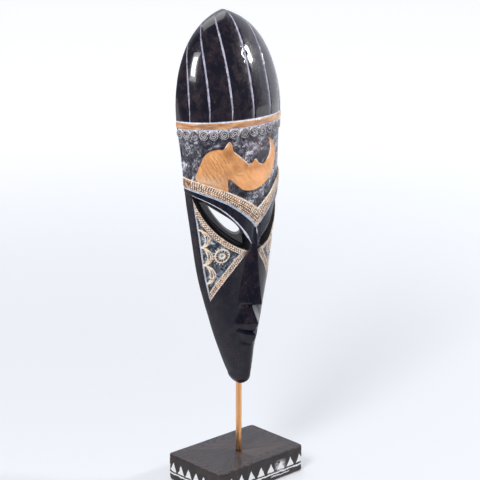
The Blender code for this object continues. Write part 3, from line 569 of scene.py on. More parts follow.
def fineRelief(x, y, lines, hatches):
    c = carving
    side = np.abs(x)
    socket = smooth(depthInside(side, y, socketOutline()), 0.0, c["socketWall"])
    out = np.maximum(noseRelief(x, y), browSwell(x, y) * (1.0 - socket))
    out = np.maximum(out, np.maximum(mouthRelief(x, y), chinKeel(x, y)))
    lid = smooth(depthInside(side, y, lidOutline()), 0.0, c["socketWall"])
    out = out - c["socketDepth"] * socket + c["lidRise"] * lid * socket
    brow = smooth(depthInside(x, y, browOutline()), 0.0, c["edge"]) * (side > 3.0)
    out = out + c["browRise"] * brow + c["borderRise"] * raised(x, y, borderOutline())
    inside = depthInside(x, y, animalOutline())
    animal = smooth(inside, 0.0, c["edge"])
    ground = raised(x, y, groundOutline())
    out = out + animal * (c["animalRise"] + c["animalSwell"] * smooth(inside, 0.0, 9.0))
    out = out - c["groundDepth"] * ground
    out = out + ground * (1.0 - animal) * 0.16 * ripples(x, y, 4.5, 3)
    for centre in curlCentres():
        away = np.hypot(x - centre[0], y - centre[1])
        boss = np.clip((curlLook["radius"] - away) / c["edge"], 0.0, 1.0)
        out = out + c["curlRise"] * np.maximum(
            boss - 0.8 * np.clip((curlLook["eye"] - away) / curlLook["eye"], 0.0, 1.0), 0.0)
    band = (y - capLook["bandFoot"]) / (capLook["bandTop"] - capLook["bandFoot"])
    out = out + c["bandRise"] * np.sqrt(np.clip(1.0 - (2.0 * band - 1.0) ** 2, 0.0, 1.0)) * 1.4
    kept = raised(side, y, ring(cheekLook["rosette"], cheekLook["rosetteRadius"], 48))
    kept = kept - 0.8 * raised(side, y, ring(cheekLook["rosette"], cheekLook["rosetteEye"], 24))
    petals = np.arctan2(y - cheekLook["rosette"][1], side - cheekLook["rosette"][0])
    away = np.hypot(side - cheekLook["rosette"][0], y - cheekLook["rosette"][1])
    hollowed = smooth(away, 2.6, 3.2) * smooth(-away, -5.6, -5.0)
    kept = kept * (1.0 - hollowed * (0.45 + 0.3 * np.cos(11 * petals)))
    for arc in cheekArcs(cheekLook["arcReach"]):
        kept = np.maximum(kept, raised(side, y, stripOutline(arc, np.full(len(arc), cheekLook["arcWidth"]))))
    panel = raised(side, y, cheekGround())
    out = out - c["groundDepth"] * panel * (1.0 - kept)
    out = out + 0.1 * panel * (1.0 - kept) * ripples(x, y, 4.0, 8)
    for _, line, width, cut in lines:
        if cut:
            half = np.mean(width) / 2
            out = out - cut * np.clip(1.0 - lineDistance(x, y, line, 1.5) / half, 0.0, 1.0)
    for line in hatches:
        out = out - 0.25 * np.clip(1.0 - lineDistance(x, y, line, 1.0) / 0.45, 0.0, 1.0)
    away = np.hypot((x - animalEye[0]) / 2.1, (y - animalEye[1] + 0.12 * (x - animalEye[0])) / 1.1)
    out = out + 0.55 * np.exp(-away ** 4) - 0.5 * np.exp(-((away - 1.45) / 0.3) ** 2)
    polished = (1.0 - ground) * (1.0 - socket) * smooth(y, 4.0, 12.0)
    out = out + 0.05 * polished * ripples(x, y, 17.0, 11)
    return out * (1.0 - smooth(side / rimReach(y), 1.0, 1.06))


skinLook = {"fineStep": 1.15, "plainStep": 2.4, "lineStep": 0.85, "mergeDistance": 8e-6}


def skinLines(painted, hatches):
    # lines that the skin's triangles follow, as (points, closed)
    lines = []
    step = skinLook["lineStep"]

    def follow(line, closed, both=False):
        for turn in ((1, -1) if both else (1,)):
            lines.append((spaced(line, step, closed) * (turn, 1.0), closed))

    def walls(outline, edge, both=False):
        for distance in (0.0, edge / 2, edge):
            follow(offset(outline, distance), True, both)

    walls(socketOutline(), carving["socketWall"], True)
    walls(lidOutline(), carving["socketWall"], True)
    walls(cheekGround(), carving["edge"], True)
    follow(cheekPanel(), True, True)
    for arc in cheekArcs(cheekLook["arcReach"]):
        walls(stripOutline(arc, np.full(len(arc), cheekLook["arcWidth"])), carving["edge"], True)
    for radius in (1.2, 2.4, 3.1, 4.0, 5.1, 5.7, 6.4):
        follow(ring(cheekLook["rosette"], radius, 48), True, True)
    walls(borderOutline(), carving["edge"])
    walls(animalOutline(), carving["edge"])
    follow(offset(animalOutline(), -1.1), True)
    walls(groundOutline(), carving["edge"])
    follow(browOutline(), True)
    for centre in curlCentres():
        for radius in (curlLook["radius"], curlLook["radius"] - carving["edge"], 2.8, curlLook["eye"], 0.8):
            follow(ring(centre, radius, 32), True)
    for share in np.linspace(0.0, 1.0, 7):
        height = capLook["bandFoot"] + share * (capLook["bandTop"] - capLook["bandFoot"])
        follow([(-rimReach(height), height), (rimReach(height), height)], False)
    for _, line, width, _ in painted:
        outline = stripOutline(line, width)
        lines.append((outline, True))
        lines.append((line, False))
    for line in hatches:
        lines.append((line, False))
        lines.append((stripOutline(line, np.full(len(line), 1.0)), True))
    for radius in (0.5, 1.0, 1.3, 1.6):
        x, y = ring((0.0, 0.0), radius, 24).T
        follow(np.stack([animalEye[0] + 2.1 * x, animalEye[1] + 1.1 * y - 0.25 * x], 1), True)
    follow([(0.0, noseLook["nostril"] - 1.0), (0.0, noseLook["root"])], False)
    y = np.linspace(noseLook["nostril"], noseLook["turn"], 60)
    follow(np.stack([noseHalfWidth(y), y], 1), False, True)
    for height in np.linspace(noseLook["nostril"], noseLook["tip"], 5):
        follow([(-11.0, height), (11.0, height)], False)
    x = np.linspace(-mouthLook["halfWidth"], mouthLook["halfWidth"], 60)
    mouth = mouthLine(x)
    for line in (lipCrest(x), mouth + mouthLook["open"], mouth, mouth - mouthLook["roll"],
                 mouth - mouthLook["swell"]):
        follow(np.stack([x, line], 1), False)
    follow([(0.0, 14.0), (0.0, noseLook["nostril"] - 1.0)], False)
    return lines


def skinNet():
    # rows of points over the whole chart, and the chart's edge
    s = skinLook
    chin = bodyShape["chinStart"] + (chinTop - bodyShape["chinStart"]) * np.linspace(0.0, 1.0, 12)[:-1]
    face = np.arange(chinTop, 38.0, s["plainStep"])
    carved = np.arange(38.0, capFoot, s["fineStep"] * 0.87)
    cap = np.linspace(capFoot, capEnd, 50)[:-1]
    net, left, right = [], [], []
    foot = []
    for number, y in enumerate(np.concatenate([chin, face, carved, cap])):
        radius = section(y)[5]
        girth, front = math.pi * radius, math.pi / 2 * radius
        left.append((-girth, y))
        right.append((girth, y))
        fine = 38.0 < y < capFoot
        step = s["fineStep"] if fine else s["plainStep"] * (0.6 if y < chinTop else 1.0)
        count = max(int(round(front / step)), 6)
        shift = 0.5 * (number % 2) * front / count if y > chinTop else 0.0
        row = np.arange(-count, count + 1) / count * front
        row = np.where(np.abs(row) < 0.97 * front, row + shift, row)
        rear = front * (1.0 + np.array([0.02, 0.05, 0.1, 0.2, 0.35, 0.55, 0.8]))
        places = np.sort(np.concatenate([-rear, row, rear]))
        if number == 0:
            foot = [(x, y) for x in places]
        elif not fine or number % 2 == 0:
            net.extend((x, y) for x in places)
        else:
            net.extend((x, y) for x in row)
    edge = foot + right + [(0.0, capEnd)] + left[::-1]
    return np.array(net), edge


def chartTriangles(lines):
    net, edge = skinNet()
    tree = KDTree(sum(len(line) for line, _ in lines))
    count = 0
    for line, _ in lines:
        for x, y in line:
            tree.insert((x, y, 0.0), count)
            count += 1
    tree.balance()
    clear = 0.62 * skinLook["lineStep"]
    points = [Vector(p) for p in edge]
    edges = [(i, (i + 1) % len(edge)) for i in range(len(edge))]
    for line, closed in lines:
        first = len(points)
        points.extend(Vector(p) for p in line)
        last = len(line) if closed else len(line) - 1
        edges.extend((first + i, first + (i + 1) % len(line)) for i in range(last))
    points.extend(Vector((x, y)) for x, y in net if tree.find((x, y, 0.0))[2] > clear)
    flat, _, triangles, _, _, _ = delaunay_2d_cdt(points, edges, [], 1, 0.03)
    return np.array([(p.x, p.y) for p in flat]), np.array([tuple(t) for t in triangles])


finishNames = ("darkPolish", "tanCarving", "bandTan", "borderTan", "slateGround", "blueGround", "navyBrow",
               "shadedSocketBlack", "litLidCharcoal", "whitePaint", "capPaint", "scallopPaint", "edgeHighlightPaint",
                "bluePaint",
               "creamPaint", "brownStroke", "insideWood")


def finishOf(x, y, painted, hatches):
    # which finish each place on the chart has, later ones over earlier ones
    side = np.abs(x)
    out = np.zeros(len(x), int)

    def lay(name, where):
        out[where] = finishNames.index(name)

    front = side < rimReach(y)
    lay("slateGround", isInside(x, y, groundOutline()))
    lay("bandTan", (y > capLook["bandFoot"]) & (y < capLook["bandTop"]) & front)
    lay("borderTan", isInside(x, y, borderOutline()))
    lay("navyBrow", isInside(x, y, browOutline()))
    # painted shade: the eye sockets near black
    lay("shadedSocketBlack", isInside(side, y, socketOutline()))
    # painted light: the lids a paler charcoal than the socket
    lay("litLidCharcoal", depthInside(side, y, lidOutline()) > carving["socketWall"] * 0.4)
    lay("borderTan", isInside(side, y, cheekPanel()))
    lay("blueGround", isInside(side, y, cheekGround()))
    for arc in cheekArcs(cheekLook["arcReach"]):
        lay("borderTan", isInside(side, y, stripOutline(arc, np.full(len(arc), cheekLook["arcWidth"] + 0.6))))
    for arc in cheekArcs(cheekLook["arcReach"] - 3.6):
        lay("creamPaint", isInside(side, y, stripOutline(arc, np.full(len(arc), 1.5))))
    away = np.hypot(side - cheekLook["rosette"][0], y - cheekLook["rosette"][1])
    lay("creamPaint", ((away > 5.1) & (away < 6.4)) | ((away > 1.2) & (away < 2.4)))
    lay("tanCarving", isInside(x, y, animalOutline()))
    for finish, line, width, _ in painted:
        lay(finish, isInside(x, y, stripOutline(line, width)))
    for line in hatches:
        lay("brownStroke", isInside(x, y, stripOutline(line, np.full(len(line), 0.55))))
    return out


def shadeHighlightSpeckle(x, y):
    # painted shade in the animal's folds and painted highlight on its muzzle, horn and cheek, each fading
    # out, and pale speckle on its neck
    def patch(cx, cy, wide, high, strength):
        return strength * np.exp(-((x - cx) / wide) ** 2 - ((y - cy) / high) ** 2)

    # painted shade at the ear's foot, the brow, the horns' feet, by the eye, along the jaw and on the neck
    shade = patch(-22, 203.4, 4, 4.5, 0.8) + patch(-8.5, 193.3, 1.8, 3.5, 0.75) + patch(-2, 190.1, 6, 2, 0.5)
    shade = shade + patch(-17, 192.3, 3.6, 3, 0.45) + patch(-36, 182.3, 9, 5, 0.25)
    shade = shade + patch(-24, 182.3, 2.6, 6, 0.35)
    # painted highlight on the muzzle, the horn and the cheek
    glow = patch(4, 181.3, 9, 7, 0.8) + patch(17, 194.3, 4, 12, 0.5) + patch(-12, 179.3, 5, 4, 0.4)
    speckle = patch(-40, 181.3, 14, 4.5, 0.4)
    # painted shade darkens the ground round the animal: over the neck, along the curls and under the jaw; the
    # ground is browner in front of the horn
    outside = depthInside(x, y, animalOutline()) < 0.0
    groundShade = patch(-40, 204, 12, 7, 0.9) + patch(-14, 205, 7, 7, 0.7)
    groundShade = groundShade + patch(4, 198, 9, 5, 0.6) + patch(-12, 172, 9, 4, 0.8)
    groundShade = groundShade + 0.75 * np.exp(-((y - 218.6) / 4.2) ** 2)
    shade = np.where(outside, groundShade, shade)
    glow = np.where(outside, patch(4, 207, 10, 8, 0.7), glow)
    return {"shade": np.clip(shade, 0, 1), "glow": np.clip(glow, 0, 1), "speckle": np.clip(speckle, 0, 1)}


def keepChart(mesh, points, flat):
    # every point of the cut mesh keeps its place on the chart, its painted shade, highlight and speckle, and
    # how sharply it turns
    tree = KDTree(len(points))
    for number, point in enumerate(points):
        tree.insert(point, number)
    tree.balance()
    near = np.array([tree.find(v.co)[1] for v in mesh.vertices])
    x, y = flat[near].T
    spots = np.stack([x, y, np.zeros(len(x))], 1).astype(np.float32)
    mesh.attributes.new("chart", "FLOAT_VECTOR", "POINT").data.foreach_set("vector", spots.ravel())
    count = len(mesh.vertices)
    places, normals = np.empty(count * 3), np.empty(count * 3)
    ends = np.empty(len(mesh.edges) * 2, np.int32)
    mesh.vertices.foreach_get("co", places)
    mesh.vertices.foreach_get("normal", normals)
    mesh.edges.foreach_get("vertices", ends)
    places, normals, (a, b) = places.reshape(-1, 3), normals.reshape(-1, 3), ends.reshape(-1, 2).T
    way = places[a] - places[b]
    way /= np.maximum(np.linalg.norm(way, axis=1, keepdims=True), 1e-9)
    total, number = np.zeros(count), np.zeros(count)
    for here, sign in ((a, 1.0), (b, -1.0)):
        np.add.at(total, here, sign * np.sum(normals[here] * way, 1))
        np.add.at(number, here, 1.0)
    values = dict(shadeHighlightSpeckle(x, y), crease=total / np.maximum(number, 1.0))
    for name, value in values.items():
        mesh.attributes.new(name, "FLOAT", "POINT").data.foreach_set("value", value.astype(np.float32))


def meshFrom(name, points, faces):
    mesh = bpy.data.meshes.new(name)
    mesh.from_pydata([tuple(p) for p in points], [], [tuple(int(i) for i in f) for f in faces])
    return mesh


def addPiece(name, mesh):
    piece = bpy.data.objects.new(name, mesh)
    bpy.context.scene.collection.objects.link(piece)
    return piece


def lofted(name, rings, closeFoot=True, closeTop=True):
    # a skin through a stack of rings
    count = len(rings[0])
    points = np.vstack(rings)
    faces = []
    for level in range(len(rings) - 1):
        for i in range(count):
            j = (i + 1) % count
            low, high = level * count, (level + 1) * count
            faces.append((low + i, low + j, high + j, high + i))
    if closeFoot:
        faces.append(tuple(range(count))[::-1])
    if closeTop:
        faces.append(tuple(range(len(points) - count, len(points))))
    mesh = meshFrom(name, points, faces)
    work = bmesh.new()
    work.from_mesh(mesh)
    bmesh.ops.recalc_face_normals(work, faces=work.faces)
    work.to_mesh(mesh)
    work.free()
    return mesh


hollowLook = {"foot": 0.0458, "crown": 0.014, "wall": 0.009, "rearPast": 0.006, "gouge": 0.0005,
              "gougeSize": 0.0075}


def gouges(a, b):
    # how deep a small hollow of the gouge is at each place, 0 at its edges
    size = hollowLook["gougeSize"]
    draw = np.random.default_rng(21)
    u, v = a / size, b / (size * 1.6)
    jitter = draw.uniform(-0.3, 0.3, (64, 64, 2))
    nearestSeed = np.full(np.shape(u), 9.0)
    for du in (-1, 0, 1):
        for dv in (-1, 0, 1):
            cu, cv = np.floor(u) + du, np.floor(v) + dv
            shift = jitter[cu.astype(int) % 64, cv.astype(int) % 64]
            away = np.hypot(u - cu - 0.5 - shift[..., 0], v - cv - 0.5 - shift[..., 1])
            nearestSeed = np.minimum(nearestSeed, away)
    return np.clip(1.0 - nearestSeed ** 2, 0.0, 1.0)


def chartPlace(height):
    overCap = np.clip((height - capFoot) / (chartHeight - capFoot), 0.0, 1.0)
    along = capFoot + bodyShape["capLength"] * np.arcsin(overCap) * 2 / math.pi
    return np.where(height < capFoot, height, along)


def hollowMesh():
    # the space inside, drawn in from the body by the wall, with the marks of the gouge
    h = hollowLook
    low, high = h["foot"], chartHeight * mm - h["crown"]
    rings = []
    for share in np.sin(np.linspace(-1.0, 1.0, 110) * math.pi / 2):
        z = (low + high) / 2 + (high - low) / 2 * share
        _, halfWidth, front, _, back, _ = section(chartPlace(z / mm))
        close = math.sqrt(max(1.0 - abs(share) ** 2.6, 0.0))
        wide = max((halfWidth * mm - h["wall"]) * close, 0.0015)
        deep = max(((front - back) * mm - h["wall"]) * close, 0.0015)
        rear = -back * mm
        turn = np.linspace(-math.pi / 2, math.pi / 2, 61)
        mark = h["gouge"] * (gouges(turn * wide, np.full(61, z)) - 1.0) * np.clip(np.cos(turn) * 3, 0.0, 1.0)
        mark = mark * min(close * 1.5, 1.0)
        points = np.stack([(wide + mark) * np.sin(turn), rear - (deep + mark) * np.cos(turn),
                           np.full(61, z)], 1)
        past = rear + h["rearPast"]
        rings.append(np.vstack([points, [(wide, past, z), (-wide, past, z)]]))
    return lofted("hollow", rings)


def eyeMesh(side):
    outline = eyeOutline() * (side, 1.0)
    surface = body(outline[:, 0], outline[:, 1])
    facing = math.radians(eyeLook["facing"])
    facing = np.array([side * math.sin(facing), -math.cos(facing), 0.0])
    return lofted("eye", [surface + facing * reach for reach in (-0.022, 0.006)])


def cutAway(piece, mesh):
    # takes the mesh's volume out of the piece for good
    tool = addPiece("tool", mesh)
    step = piece.modifiers.new("cut", "BOOLEAN")
    step.operation, step.solver, step.object = "DIFFERENCE", "EXACT", tool
    step.material_mode = "TRANSFER"
    cutMesh = bpy.data.meshes.new_from_object(piece.evaluated_get(bpy.context.evaluated_depsgraph_get()))
    piece.modifiers.remove(step)
    piece.data = cutMesh
    bpy.data.objects.remove(tool)


def buildMask(finishes):
    painted, hatches = paintedLines(), hatchLines()
    flat, triangles = chartTriangles(skinLines(painted, hatches))
    x, y = flat.T
    print("chart:", len(flat), "points,", len(triangles), "triangles")
    relief = fineRelief(x, y, painted, hatches)
    points = body(x, y) + bodyNormals(x, y) * (relief * mm)[:, None]
    middle = flat[triangles].mean(1)
    kinds = finishOf(middle[:, 0], middle[:, 1], painted, hatches)
    mesh = meshFrom("mask", points, triangles)
    for name in finishNames:
        mesh.materials.append(finishes[name])
    mesh.polygons.foreach_set("material_index", kinds.astype(np.int32))
    work = bmesh.new()
    work.from_mesh(mesh)
    bmesh.ops.remove_doubles(work, verts=work.verts, dist=skinLook["mergeDistance"])
    bmesh.ops.dissolve_degenerate(work, edges=work.edges, dist=1e-6)
    bmesh.ops.recalc_face_normals(work, faces=work.faces)
    work.to_mesh(mesh)
    work.free()
    mask = addPiece("carvedMask", mesh)
    hollow = hollowMesh()
    hollow.materials.append(finishes["insideWood"])
    cutAway(mask, hollow)
    for side in (-1, 1):
        eye = eyeMesh(side)
        eye.materials.append(finishes["litLidCharcoal"])
        cutAway(mask, eye)
    bore = (rodHigh.x - rodLow.x) / 2 + 0.0003
    rim = ring((0.0, 0.0), bore, 32)
    boreMesh = lofted("bore", [np.column_stack([rim, np.full(32, z)]) for z in (-0.006, 0.0223)])
    boreMesh.materials.append(finishes["insideWood"])
    cutAway(mask, boreMesh)
    keepChart(mask.data, points, flat)
    mask.data.transform(Matrix.Translation(Vector(chinPlace)))
    mask.data.shade_smooth()
    mask.data.set_sharp_from_angle(angle=math.radians(38))
    print("mask:", len(mask.data.polygons), "faces")
    return mask


# Small helpers for node trees
def fillSocket(tree, socket, value):
    if isinstance(value, bpy.types.NodeSocket):
        tree.links.new(value, socket)
    else:
        socket.default_value = value


def addNode(tree, kind, inputs=(), **settings):
    made = tree.nodes.new(kind)
    for name, value in settings.items():
        setattr(made, name, value)
    for key, value in dict(inputs).items():
        fillSocket(tree, made.inputs[key], value)
    return made


def calc(tree, operation, *values):
    return addNode(tree, "ShaderNodeMath", enumerate(values), operation=operation).outputs[0]


def span(tree, value, low, high, toLow=0.0, toHigh=1.0):
    # an eased step from one value to another
    places = {"Value": value, "From Min": low, "From Max": high, "To Min": toLow, "To Max": toHigh}
    return addNode(tree, "ShaderNodeMapRange", places, interpolation_type="SMOOTHSTEP").outputs[0]


def blend(tree, share, first, second, mode="MIX"):
    made = addNode(tree, "ShaderNodeMix", data_type="RGBA", blend_type=mode)
    for index, value in ((0, share), (6, first), (7, second)):
        fillSocket(tree, made.inputs[index], (*value, 1.0) if isinstance(value, tuple) else value)
    return made.outputs[2]


def ramp(tree, value, *stops):
    made = addNode(tree, "ShaderNodeValToRGB", {"Fac": value})
    elements = made.color_ramp.elements
    elements[0].position, elements[1].position = stops[0][0], stops[-1][0]
    for place, _ in stops[1:-1]:
        elements.new(place)
    for element, (_, colour) in zip(elements, stops):
        element.color = (*colour, 1.0)
    return made.outputs["Color"]


def noise(tree, vector, scale, detail=3.0, roughness=0.55, distortion=0.0):
    settings = {"Vector": vector, "Scale": scale, "Detail": detail, "Roughness": roughness,
                "Distortion": distortion}
    return addNode(tree, "ShaderNodeTexNoise", settings)


def mapped(tree, vector, scale=(1.0, 1.0, 1.0), turn=(0.0, 0.0, 0.0)):
    return addNode(tree, "ShaderNodeMapping", {"Vector": vector, "Scale": scale, "Rotation": turn}).outputs[0]


def objectPlace(tree):
    # place on the piece in millimetres
    place = addNode(tree, "ShaderNodeTexCoord").outputs["Object"]
    return mapped(tree, place, (1000.0, 1000.0, 1000.0))


def chartSpot(tree):
    return addNode(tree, "ShaderNodeAttribute", attribute_name="chart").outputs["Vector"]


def spotValue(tree, name):
    return addNode(tree, "ShaderNodeAttribute", attribute_name=name).outputs["Fac"]


# Shared effects, all sized in millimetres
def startGroup(name, inputs, outputs):
    tree = bpy.data.node_groups.new(name, "ShaderNodeTree")
    for label, kind, value in inputs:
        socket = tree.interface.new_socket(label, in_out="INPUT", socket_type=kind)
        if value is not None:
            socket.default_value = value
    for label, kind in outputs:
        tree.interface.new_socket(label, in_out="OUTPUT", socket_type=kind)
    return tree, tree.nodes.new("NodeGroupInput").outputs, tree.nodes.new("NodeGroupOutput").inputs


floatSocket, vectorSocket = "NodeSocketFloat", "NodeSocketVector"


def makeBlotches():
    # cloudy patches of stain, with small pale flecks of the wood in them
    inputs = (("Place", vectorSocket, None), ("Size", floatSocket, 8.0), ("Fleck Size", floatSocket, 1.2))
    tree, given, out = startGroup("blotches", inputs, (("Blotch", floatSocket), ("Fleck", floatSocket)))
    scale = calc(tree, "DIVIDE", 1.0, given["Size"])
    cloud = noise(tree, given["Place"], scale, 5.0, 0.62, 0.5).outputs["Fac"]
    fleckScale = calc(tree, "DIVIDE", 1.0, given["Fleck Size"])
    speck = noise(tree, given["Place"], fleckScale, 2.0, 0.5).outputs["Fac"]
    blotch = span(tree, cloud, 0.4, 0.66)
    tree.links.new(blotch, out["Blotch"])
    tree.links.new(calc(tree, "MULTIPLY", span(tree, speck, 0.6, 0.74), blotch), out["Fleck"])
    return tree


def makeBrush():
    # strokes of a nearly dry brush that wander and curl
    inputs = (("Place", vectorSocket, None), ("Size", floatSocket, 1.0), ("Curl", floatSocket, 5.0),
              ("Curl Size", floatSocket, 9.0), ("Long", floatSocket, 0.22))
    tree, given, out = startGroup("brushStrokes", inputs, (("Stroke", floatSocket), ("Cloud", floatSocket)))
    warp = noise(tree, given["Place"], calc(tree, "DIVIDE", 1.0, given["Curl Size"]), 1.0)
    bent = addNode(tree, "ShaderNodeVectorMath", {0: warp.outputs["Color"], 1: (0.5, 0.5, 0.5)},
                   operation="SUBTRACT").outputs[0]
    bent = addNode(tree, "ShaderNodeVectorMath", {0: bent, "Scale": given["Curl"]},
                   operation="SCALE").outputs[0]
    bent = addNode(tree, "ShaderNodeVectorMath", {0: bent, 1: given["Place"]}, operation="ADD").outputs[0]
    stretch = addNode(tree, "ShaderNodeCombineXYZ", {"X": 1.0, "Y": given["Long"], "Z": 1.0}).outputs[0]
    drawn = addNode(tree, "ShaderNodeVectorMath", {0: bent, 1: stretch}, operation="MULTIPLY").outputs[0]
    stroke = noise(tree, drawn, calc(tree, "DIVIDE", 1.0, given["Size"]), 3.0, 0.6).outputs["Fac"]
    cloud = noise(tree, given["Place"], calc(tree, "DIVIDE", 0.8, given["Curl Size"]), 3.0, 0.6, 1.2)
    tree.links.new(span(tree, stroke, 0.36, 0.68), out["Stroke"])
    tree.links.new(span(tree, cloud.outputs["Fac"], 0.36, 0.66), out["Cloud"])
    return tree


def makePaintWear():
    # where hand-laid paint covers, and how thick it lies
    inputs = (("Place", vectorSocket, None), ("Size", floatSocket, 1.2), ("Loss", floatSocket, 0.4))
    tree, given, out = startGroup("paintWear", inputs, (("Cover", floatSocket), ("Thick", floatSocket)))
    coarse = noise(tree, given["Place"], calc(tree, "DIVIDE", 0.4, given["Size"]), 2.0).outputs["Fac"]
    fine = noise(tree, given["Place"], calc(tree, "DIVIDE", 1.6, given["Size"]), 3.0, 0.6).outputs["Fac"]
    mixed = calc(tree, "ADD", calc(tree, "MULTIPLY", coarse, 0.45), calc(tree, "MULTIPLY", fine, 0.55))
    bare, full = (calc(tree, step, given["Loss"], 0.07) for step in ("SUBTRACT", "ADD"))
    cover = span(tree, mixed, bare, full)
    tree.links.new(cover, out["Cover"])
    tree.links.new(calc(tree, "MULTIPLY", cover, fine), out["Thick"])
    return tree


def makeGrain():
    # long fibres of the wood, run along the second axis
    inputs = (("Place", vectorSocket, None), ("Size", floatSocket, 0.7), ("Length", floatSocket, 14.0))
    tree, given, out = startGroup("woodGrain", inputs, (("Grain", floatSocket), ("Streak", floatSocket)))
    shorter = calc(tree, "DIVIDE", 1.0, given["Length"])
    squeeze = addNode(tree, "ShaderNodeCombineXYZ", {"X": 1.0, "Y": shorter, "Z": 1.0}).outputs[0]
    fibre = addNode(tree, "ShaderNodeVectorMath", {0: given["Place"], 1: squeeze},
                    operation="MULTIPLY").outputs[0]
    grain = noise(tree, fibre, calc(tree, "DIVIDE", 1.0, given["Size"]), 4.0, 0.65, 0.3).outputs["Fac"]
    streak = noise(tree, fibre, calc(tree, "DIVIDE", 0.22, given["Size"]), 2.0, 0.5, 0.6).outputs["Fac"]
    tree.links.new(span(tree, grain, 0.34, 0.68), out["Grain"])
    tree.links.new(span(tree, streak, 0.38, 0.64), out["Streak"])
    return tree


def makeRubbingAndCornerShade():
    # ridges rubbed bright, and painted shade that darkens the corners, from the crease measured on the mesh
    inputs = (("Crease", floatSocket, 0.0), ("Place", vectorSocket, None), ("Reach", floatSocket, 0.5))
    tree, given, out = startGroup("rubbingAndCornerShade", inputs, (("Ridge", floatSocket), ("CornerShade", floatSocket)))
    uneven = noise(tree, given["Place"], 0.9, 3.0, 0.6).outputs["Fac"]
    uneven = span(tree, uneven, 0.3, 0.62, 0.25, 1.0)
    ridge = span(tree, given["Crease"], 0.06, given["Reach"])
    down = calc(tree, "MULTIPLY", given["Crease"], -1.0)
    tree.links.new(calc(tree, "MULTIPLY", ridge, uneven), out["Ridge"])
    # the corner output is painted shade: darker where the surface folds inward
    tree.links.new(span(tree, down, 0.03, given["Reach"]), out["CornerShade"])
    return tree


groups = {"blotches": makeBlotches(), "brush": makeBrush(), "paintWear": makePaintWear(),
          "grain": makeGrain(), "rubbingAndCornerShade": makeRubbingAndCornerShade()}


def placeGroup(tree, name, inputs):
    made = tree.nodes.new("ShaderNodeGroup")
    made.node_tree = groups[name]
    for key, value in inputs.items():
        fillSocket(tree, made.inputs[key], value)
    return made.outputs


def newFinish(name, **constants):
    material = bpy.data.materials.new(name)
    material.use_nodes = True
    tree = material.node_tree
    shader = tree.nodes["Principled BSDF"]
    for key, value in constants.items():
        shader.inputs[key].default_value = value
    return material, tree, shader


def dress(tree, shader, colour, roughness, height=None, depth=0.05):
    # puts the colour, the roughness and a height in millimetres on the shader
    fillSocket(tree, shader.inputs["Base Color"], colour)
    fillSocket(tree, shader.inputs["Roughness"], roughness)
    if height is not None:
        bump = addNode(tree, "ShaderNodeBump", {"Height": height, "Strength": 1.0, "Distance": depth * mm})
        tree.links.new(bump.outputs["Normal"], shader.inputs["Normal"])


def ridgeAndCornerShade(tree, place, reach=0.5):
    return placeGroup(tree, "rubbingAndCornerShade", {"Crease": spotValue(tree, "crease"), "Place": place, "Reach": reach})


def uprightPlace(tree, place):
    # the place with its Y up the piece, so that grain runs upright
    return mapped(tree, place, turn=(math.pi / 2, 0.0, 0.0))


def polishedWood(name, dark, brown, fleck, blotchSize, coat):
    material, tree, shader = newFinish(name, **{"Coat Roughness": 0.07, "Coat IOR": 1.65, "IOR": 1.4,
                                                "Specular IOR Level": 0.22})
    place = objectPlace(tree)
    cloud = placeGroup(tree, "blotches", {"Place": mapped(tree, place, (1.0, 1.0, 0.7)), "Size": blotchSize})
    fibre = placeGroup(tree, "grain", {"Place": uprightPlace(tree, place), "Size": 0.8})
    edge = ridgeAndCornerShade(tree, place)
    high = addNode(tree, "ShaderNodeSeparateXYZ", {0: place}).outputs["Z"]
    share = span(tree, high, 140.0, 290.0, 0.45, 0.8)  # the face is blacker and duller than the cap
    fillSocket(tree, shader.inputs["Coat Weight"], span(tree, high, 300.0, 322.0, coat, 1.0))
    colour = blend(tree, calc(tree, "MULTIPLY", cloud["Blotch"], share), dark, brown)
    colour = blend(tree, calc(tree, "MULTIPLY", cloud["Fleck"], share), colour, fleck)
    colour = blend(tree, calc(tree, "MULTIPLY", fibre["Grain"], 0.15), colour, dark)
    colour = blend(tree, calc(tree, "MULTIPLY", edge["Ridge"], 0.35), colour, brown)
    roughness = span(tree, calc(tree, "ADD", cloud["Blotch"], fibre["Grain"]), 0.2, 1.8, 0.2, 0.36)
    dress(tree, shader, colour, roughness, fibre["Grain"], 0.02)
    return material


def carvedGround(name, dark, middle, light, lit):
    # stained ground in dark and pale clouds with brushed, curling strokes, darker with painted shade round
    # the animal and in the corners
    material, tree, shader = newFinish(name, **{"Coat Weight": 0.12, "Coat Roughness": 0.2})
    place = chartSpot(tree)
    drawn = placeGroup(tree, "brush", {"Place": place, "Size": 1.5, "Curl": 14.0, "Curl Size": 8.0,
                                       "Long": 0.16})
    broad = placeGroup(tree, "brush", {"Place": mapped(tree, place, turn=(0.0, 0.0, 1.1)), "Size": 3.6,
                                       "Curl": 12.0, "Curl Size": 11.0, "Long": 0.3})
    edge = ridgeAndCornerShade(tree, place, 0.35)
    # painted shade: the shade attribute holds the pale clouds back round the animal
    pale = calc(tree, "MULTIPLY", calc(tree, "SUBTRACT", 1.0, spotValue(tree, "shade")), broad["Cloud"])
    colour = blend(tree, calc(tree, "MULTIPLY", drawn["Stroke"], calc(tree, "MULTIPLY_ADD", pale, 0.8, 0.2)),
                   dark, middle)
    patch = calc(tree, "MULTIPLY", calc(tree, "MULTIPLY", drawn["Stroke"], broad["Stroke"]), lit)
    colour = blend(tree, calc(tree, "MULTIPLY", patch, pale), colour, light)
    warm = calc(tree, "MULTIPLY", spotValue(tree, "glow"), 0.6)
    colour = blend(tree, warm, colour, (0.11, 0.06, 0.06), "ADD")
    colour = blend(tree, calc(tree, "MULTIPLY", edge["Ridge"], 0.8), colour, light)
    # painted shade in the corners
    colour = blend(tree, calc(tree, "MULTIPLY", edge["CornerShade"], 0.5), colour, dark)
    dress(tree, shader, colour, span(tree, drawn["Stroke"], 0.0, 1.0, 0.34, 0.62), drawn["Stroke"], 0.12)
    return material


